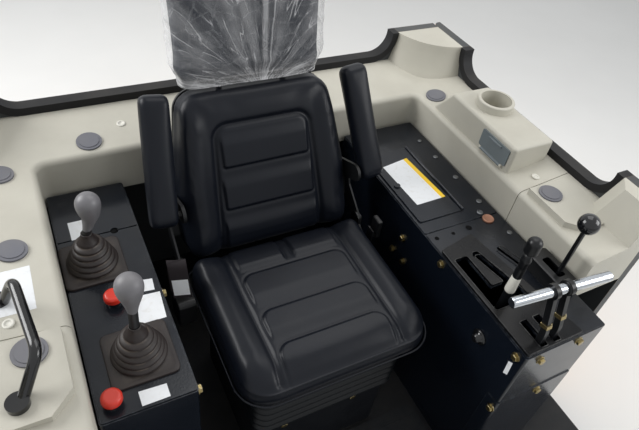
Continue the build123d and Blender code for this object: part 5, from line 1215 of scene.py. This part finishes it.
LEFT, RIGHT, AHEAD, UP = (1, 0, 0), (-1, 0, 0), (0, -1, 0), (0, 0, 1)
LEFT_COVER_TOP = 570
BOLTS = (
    # x, y, height, direction out
    (-338, 400, 500, LEFT), (-338, 40, 552, LEFT), (-338, -11, 447, LEFT), (-338, -214, 548, LEFT),
    (336, -118, 547, RIGHT), (336, -411, 545, RIGHT), (392, -436, 535, AHEAD), (507, -436, 548, AHEAD),
    (333, -428, 342, RIGHT), (471, -439, 352, AHEAD), (336, 43, 484, RIGHT), (336, 70, 413, RIGHT),
    (336, 15, 415, RIGHT), (82, -206, 205, AHEAD), (-120, -206, 205, AHEAD),
)
BOLT_WASHER = ((0.0115, 0.0), (0.0115, 0.0016), (0.0108, 0.0020), (0.006, 0.0020))
BOLT_HEAD = ((0.0082, 0.0020), (0.0092, 0.0026), (0.0092, 0.0078), (0.0078, 0.0088), (0.003, 0.0088))
# Screw caps at the rear, and on the lining beside the seat
REAR_CAPS = ((-304, 526), (300, 526))
SIDE_CAPS = ((-630, -26), (674, -32))
CAP_PROFILE = (
    # radius and height in metres
    (0.0115, -0.001), (0.0115, 0.0014), (0.0104, 0.0024), (0.0062, 0.0028), (0.0058, 0.0016),
    (0.001, 0.0014),
)
COPPER_PROFILE = (
    (0.0165, 0.0), (0.0165, 0.004), (0.0145, 0.0062), (0.0135, 0.0056), (0.004, 0.0060), (0.001, 0.0060),
)
LOCK_PROFILE = (
    (0.021, 0.0), (0.021, 0.004), (0.019, 0.006), (0.012, 0.007), (0.012, 0.014), (0.0095, 0.018),
    (0.003, 0.019),
)
SOCKET_PROFILE = ((0.009, 0.0), (0.009, 0.003), (0.007, 0.0036), (0.006, 0.0012), (0.001, 0.0012))
COVER_SCREWS = (
    # x, y, radius in mm
    (557, 323, 7), (559, 237, 8), (562, 136, 9), (563, 25, 9), (565, -107, 8),
)
HOLE_SHADE_DISCS = (
    # dark discs of painted shade for the holes: x, y, radius in metres, height
    (359, -54, 0.0062, 570.1), (413, -54, 0.0052, 570.1), (467, -52, 0.0085, 570.1),
    (-395, 252, 0.0092, 567.6),
)


class StationFittings(bpy.types.Operator):
    """Adds bolts, screw caps, the lock knob, dark discs of painted shade for the holes, the copper cap and
    the left cover's screws
    """

    bl_idname = "station.fittings"
    bl_label = "Bolts and small fittings"

    def execute(self, context):
        bolts = Shape()
        for k, (x, y, height, out) in enumerate(BOLTS):
            spot = facing(at(x, y, height), out, 0.4 * k)
            bolts.turned(BOLT_WASHER, spot, 28)
            bolts.turned(BOLT_HEAD, spot, 6)
        sharpen(bolts.made("zinc_bolts", "station", "zinc"))
        caps = Shape()
        for x, y in REAR_CAPS:
            caps.turned(CAP_PROFILE, facing(on_lining(x, y, "rear"), (0, -0.13, 0.99)), 32)
        for x, y in SIDE_CAPS:
            caps.turned(CAP_PROFILE, facing(on_lining(x, y), (math.copysign(-0.12, x), 0, 0.99)), 32)
        caps.made("lining_screw_caps", "station", "white")
        # Near-black discs on the covers: painted shade in place of the dark inside of the holes
        shade_discs = Shape()
        for x, y, radius, height in HOLE_SHADE_DISCS:
            profile = ((radius, 0.0), (radius, 0.0003), (0.0005, 0.0003))
            shade_discs.turned(profile, facing(at(x, y, height), UP), 28)
        shade_discs.made("cover_hole_shade_discs", "station", "painted_hole_shade")
        spot = facing(at(540, -44, LEFT_COVER_TOP), UP)
        turned_piece("copper_cap", COPPER_PROFILE, spot, 40, "station", "copper")
        screws = Shape()
        for x, y, half in COVER_SCREWS:
            radius = half / 1000
            profile = ((radius, 0.0), (radius, 0.0022), (radius - 0.0016, 0.003), (0.001, 0.003))
            screws.turned(profile, facing(at(x, y, LEFT_COVER_TOP), UP, 0.15), 6)
        screws.turned(SOCKET_PROFILE, facing(at(535, -14, LEFT_COVER_TOP), UP), 24)
        sharpen(screws.made("cover_screws", "station", "steel"))
        spot = facing(at(336, -309, 484), RIGHT)
        turned_piece("lock_knob", LOCK_PROFILE, spot, 36, "station", "gloss")
        return {"FINISHED"}


# The gear lever's sleeves: radius and height in mm
WHITE_SLEEVE = ((11.2, 602), (12.6, 604), (12.8, 612), (11.4, 650), (10.6, 657), (8.2, 658))
BLACK_SLEEVE = ((8.2, 655), (10.4, 658), (10.4, 700), (12.0, 706), (12.0, 716), (9.2, 722), (8.2, 733))
STEER_TILT = radians(15.7)
STEER_BANDS = (
    # corners and thickness of a band and its tab, in mm
    (((-8, -10), (8, -10), (8, 10), (-8, 10)), 9.0),
    (((8, -4), (15, -4), (15, 4), (8, 4)), 6.0),
)
BAR_ENDS = (at(282, -366, 715), at(549, -391, 715))
KNOB_SKIRT = (
    # radius, depth below the knob's centre
    (26.1, 0.0), (26.2, 3.0), (25.6, 9.0), (24.0, 17.0), (21.6, 26.0), (18.8, 35.0), (15.8, 45.0),
    (13.2, 55.0), (11.3, 64.0), (10.3, 70.0), (9.7, 71.5),
)
KNOB_SIDES = 48
GATE_RIMS = (
    # x, y, corner radius of each slot's edge
    (
        (350, -138, 7), (392, -138, 7), (392, -240, 3), (427, -240, 3), (407, -143, 7), (431, -148, 7),
        (464, -306, 7), (350, -306, 7),
    ),
    ((491.5, -143, 3), (504.5, -145, 3), (523.5, -214, 3), (510.5, -212, 3)),
    ((380.5, -352, 4), (403.5, -352, 4), (403.5, -427, 4), (380.5, -427, 4)),
    ((420.5, -352, 4), (443.5, -352, 4), (443.5, -427, 4), (420.5, -427, 4)),
)


class StationLevers(bpy.types.Operator):
    """Adds the levers' sleeves, bands and knob skirts, the gate's slot rims and the bar's clamp"""

    bl_idname = "station.levers"
    bl_label = "Lever fittings"

    def execute(self, context):
        upright = Matrix.Translation(at(401, -281, 0))
        for look, sleeve in (("white", WHITE_SLEEVE), ("black", BLACK_SLEEVE)):
            profile = [(r / 1000, z / 1000) for r, z in sleeve]
            turned_piece(f"gear_sleeve_{look}", profile, upright, 40, "gear_stick", look)
        bands = Shape()
        for x, y, height in ((392, -404.6, 622), (432, -401.2, 634)):
            spot = facing(at(x, y, height), (0, sin(STEER_TILT), cos(STEER_TILT)), pi)
            for corners, tall in STEER_BANDS:
                rings = [[spot @ (Vector((px, py, h)) / 1000) for px, py in corners] for h in (0.0, tall)]
                bands.loops(rings, True, True)
        sharpen(bands.made("steer_bands", "steering", "zinc"))
        turns = [2 * pi * i / KNOB_SIDES for i in range(KNOB_SIDES)]
        for name, x, y, shift, knob in LEVERS:
            foot = at(x, y, 668)
            lean = at(x + shift, y, knob - 36) - foot
            ball = at(x + shift, y, knob)
            rings = []
            for radius, below in KNOB_SKIRT:
                middle = ball - Vector((0, 0, below / 1000))
                on_rod = foot + lean * ((middle.z - foot.z) / lean.z)
                middle = middle.lerp(on_rod, smooth_step(below, 26.0, 46.0))
                rings.append([middle + Vector((cos(a), sin(a), 0)) * (radius / 1000) for a in turns])
            skirt = Shape()
            skirt.loops(rings)
            skirt.made(f"{name}_knob_skirt", f"{name}_stick", "knob")
        rims = Shape()
        for corners in GATE_RIMS:
            outline = [at(p.x, p.y, 578.3) for p in rounded(corners, 5)(0)]
            rims.tube(outline + outline[:2], 0.0013, 8)
        rims.made("gate_slot_rims", "station", "gate")
        clamp = Shape()
        ahead = (BAR_ENDS[1] - BAR_ENDS[0]).normalized()
        spot = facing(BAR_ENDS[0].lerp(BAR_ENDS[1], 0.56) - ahead * 0.007, tuple(ahead))
        profile = ((0.0121, 0.0), (0.0165, 0.0), (0.0165, 0.014), (0.0121, 0.014))
        clamp.turned(profile, spot, 36, (False, False))
        clamp.made("bar_clamp", "steering", "black")
        return {"FINISHED"}


BELT_ACROSS = Vector((0.93, -0.36, 0.06))
BELT_WIDE = 0.044
BELT_LINE = (
    # from the retractor up, over its fold, and down to the hanging end
    (-284, 100, 462), (-285, 106, 494), (-286, 112, 528), (-286, 113, 556), (-287, 105, 574),
    (-288, 92, 568), (-288, 82, 544), (-287, 74, 512), (-286, 66, 480),
)


class StationBelt(bpy.types.Operator):
    """Adds the seat belt's webbing, from its retractor over its fold, and the blank tag on it"""

    bl_idname = "station.belt"
    bl_label = "Seat belt"

    def execute(self, context):
        curve = smooth_path([at(*point) for point in BELT_LINE], 8)
        lines = []
        for i, point in enumerate(curve):
            ahead = (curve[min(i + 1, len(curve) - 1)] - curve[max(i - 1, 0)]).normalized()
            across = (BELT_ACROSS - ahead * BELT_ACROSS.dot(ahead)).normalized()
            lines.append((point, across, ahead.cross(across)))

        def strip(name, rows, half, thick, lift, look):
            shape = Shape()
            corners = ((-half, lift), (half, lift), (half, lift + thick), (-half, lift + thick))
            rings = [[point + across * a + out * b for a, b in corners] for point, across, out in rows]
            shape.loops(rings, True, True)
            return shape.made(name, "seat", look, smooth=False)

        strap = strip("belt_webbing", lines, BELT_WIDE / 2, 0.0012, -0.0006, "belt")
        strip("belt_label", lines[-14:-2], 0.019, 0.0004, 0.0007, "label")
        return {"FINISHED"}


def smooth_path(points, steps):
    """A smooth curve through the points, with equal steps between each two."""
    ends = [points[0] * 2 - points[1], *points, points[-1] * 2 - points[-2]]
    path = []
    for a, b, c, d in zip(ends, ends[1:], ends[2:], ends[3:]):
        for k in range(steps):
            t = k / steps
            squared = (2 * a - 5 * b + 4 * c - d) * t**2
            cubed = (3 * b - a - 3 * c + d) * t**3
            path.append(0.5 * ((2 * b) + (c - a) * t + squared + cubed))
    return path + [points[-1]]


# The camera stands where the photograph's did
CAMERA_AT = (-0.485, -0.780, 1.674)
CAMERA_RIGHT = (0.88851921, -0.44395647, 0.11591489)
CAMERA_DOWN = (-0.23592076, -0.65870502, -0.71445721)
CAMERA_AHEAD = (0.39354162, 0.60746223, -0.69001061)
CAMERA_LENS = 31.95


LAMPS = (
    # name, place, target, power in watts, width in metres
    ("Window light", (-2.2, 1.5, 2.2), (0.1, 0.1, 0.4), 70, 1.6),
    ("Roof light", (0.9, 0.7, 2.9), (0.1, 0.1, 0.3), 22, 1.8),
    ("Door light", (2.2, -1.5, 2.0), (0.2, 0.0, 0.5), 34, 1.4),
)
WORLD_LIGHT, WORLD_SEEN = 0.55, 0.94
STAGE_HALF = 9


def lamp(name, place, target, power, size):
    data = bpy.data.lights.new(name, "AREA")
    data.energy, data.size = power, size
    made = bpy.data.objects.new(name, data)
    made.location = place
    made.rotation_mode = "QUATERNION"
    made.rotation_quaternion = (Vector(target) - Vector(place)).to_track_quat("-Z", "Y")
    bpy.context.scene.collection.objects.link(made)


class StationStage(bpy.types.Operator):
    """Sets up the floor, the lamps, the world and the camera"""

    bl_idname = "station.stage"
    bl_label = "Stage"

    def execute(self, context):
        scene = context.scene
        data = bpy.data.cameras.new("Camera")
        data.sensor_fit, data.sensor_width, data.lens = "HORIZONTAL", 36.0, CAMERA_LENS
        data.clip_start, data.clip_end = 0.05, 60
        camera = bpy.data.objects.new("Camera", data)
        columns = (CAMERA_RIGHT, tuple(-c for c in CAMERA_DOWN), tuple(-c for c in CAMERA_AHEAD), CAMERA_AT)
        rows = [[column[row] for column in columns] for row in range(3)]
        camera.matrix_world = Matrix([*rows, [0, 0, 0, 1]])
        scene.collection.objects.link(camera)
        scene.camera = camera
        mesh = bpy.data.meshes.new("stage_floor")
        signs = ((-1, -1), (1, -1), (1, 1), (-1, 1))
        corners = [(x * STAGE_HALF, y * STAGE_HALF, 0) for x, y in signs]
        mesh.from_pydata(corners, [], [(0, 1, 2, 3)])
        floor = bpy.data.objects.new("stage_floor", mesh)
        scene.collection.objects.link(floor)
        mesh.materials.append(stage_finish())
        world = bpy.data.worlds.new("Studio")
        scene.world = world
        world.use_nodes = True
        world.node_tree.nodes.clear()
        tree = Tree(world.node_tree)
        ray = tree.add("ShaderNodeLightPath")
        seen = tree.total(ray.outputs["Is Camera Ray"], ray.outputs["Is Glossy Ray"], clamp=True)
        seen = tree.total(seen, ray.outputs["Is Transmission Ray"], clamp=True)
        light = tree.add("ShaderNodeBackground")
        tree.put(tree.span(seen, 0.0, 1.0, WORLD_LIGHT, WORLD_SEEN), light.inputs["Strength"])
        light.inputs["Color"].default_value = (0.97, 0.985, 1.0, 1)
        out = tree.add("ShaderNodeOutputWorld")
        tree.put(light.outputs[0], out.inputs["Surface"])
        for settings in LAMPS:
            lamp(*settings)
        scene.view_settings.view_transform = "Standard"
        return {"FINISHED"}


def stage_finish():
    """Plain pale floor."""
    material, tree, body = new_material("Stage floor")
    vary = use(tree, VARIATION, "Share", Place=tree.place(), Scale=0.7)
    tree.put(tree.blend(vary, tone(226, 226, 224), tone(232, 232, 230)), body.inputs["Base Color"])
    body.inputs["Roughness"].default_value = 0.8
    return material


STEPS = (
    StationPaint, StationSeat, StationBack, StationHead, StationArmrests, StationBoots, StationLabels,
    StationFittings, StationLevers, StationBelt, StationStage,
)


class VIEW3D_PT_station(bpy.types.Panel):
    """Lists the station's steps and settings"""

    bl_label = "Operator's station"
    bl_space_type = "VIEW_3D"
    bl_region_type = "UI"
    bl_category = "Station"

    def draw(self, context):
        layout = self.layout
        for group in (context.scene.station_colours, context.scene.station_sizes):
            box = layout.box()
            for name in group.__annotations__:
                box.prop(group, name)
        for step in STEPS:
            layout.operator(step.bl_idname)


CLASSES = (StationColours, StationSizes, *STEPS, VIEW3D_PT_station)


def register():
    for kind in CLASSES:
        bpy.utils.register_class(kind)
    bpy.types.Scene.station_colours = bpy.props.PointerProperty(type=StationColours)
    bpy.types.Scene.station_sizes = bpy.props.PointerProperty(type=StationSizes)


def unregister():
    del bpy.types.Scene.station_sizes
    del bpy.types.Scene.station_colours
    for kind in reversed(CLASSES):
        bpy.utils.unregister_class(kind)


def main():
    register()
    for step in STEPS:
        group, name = step.bl_idname.split(".")
        getattr(getattr(bpy.ops, group), name)()


if __name__ == "__main__":
    main()
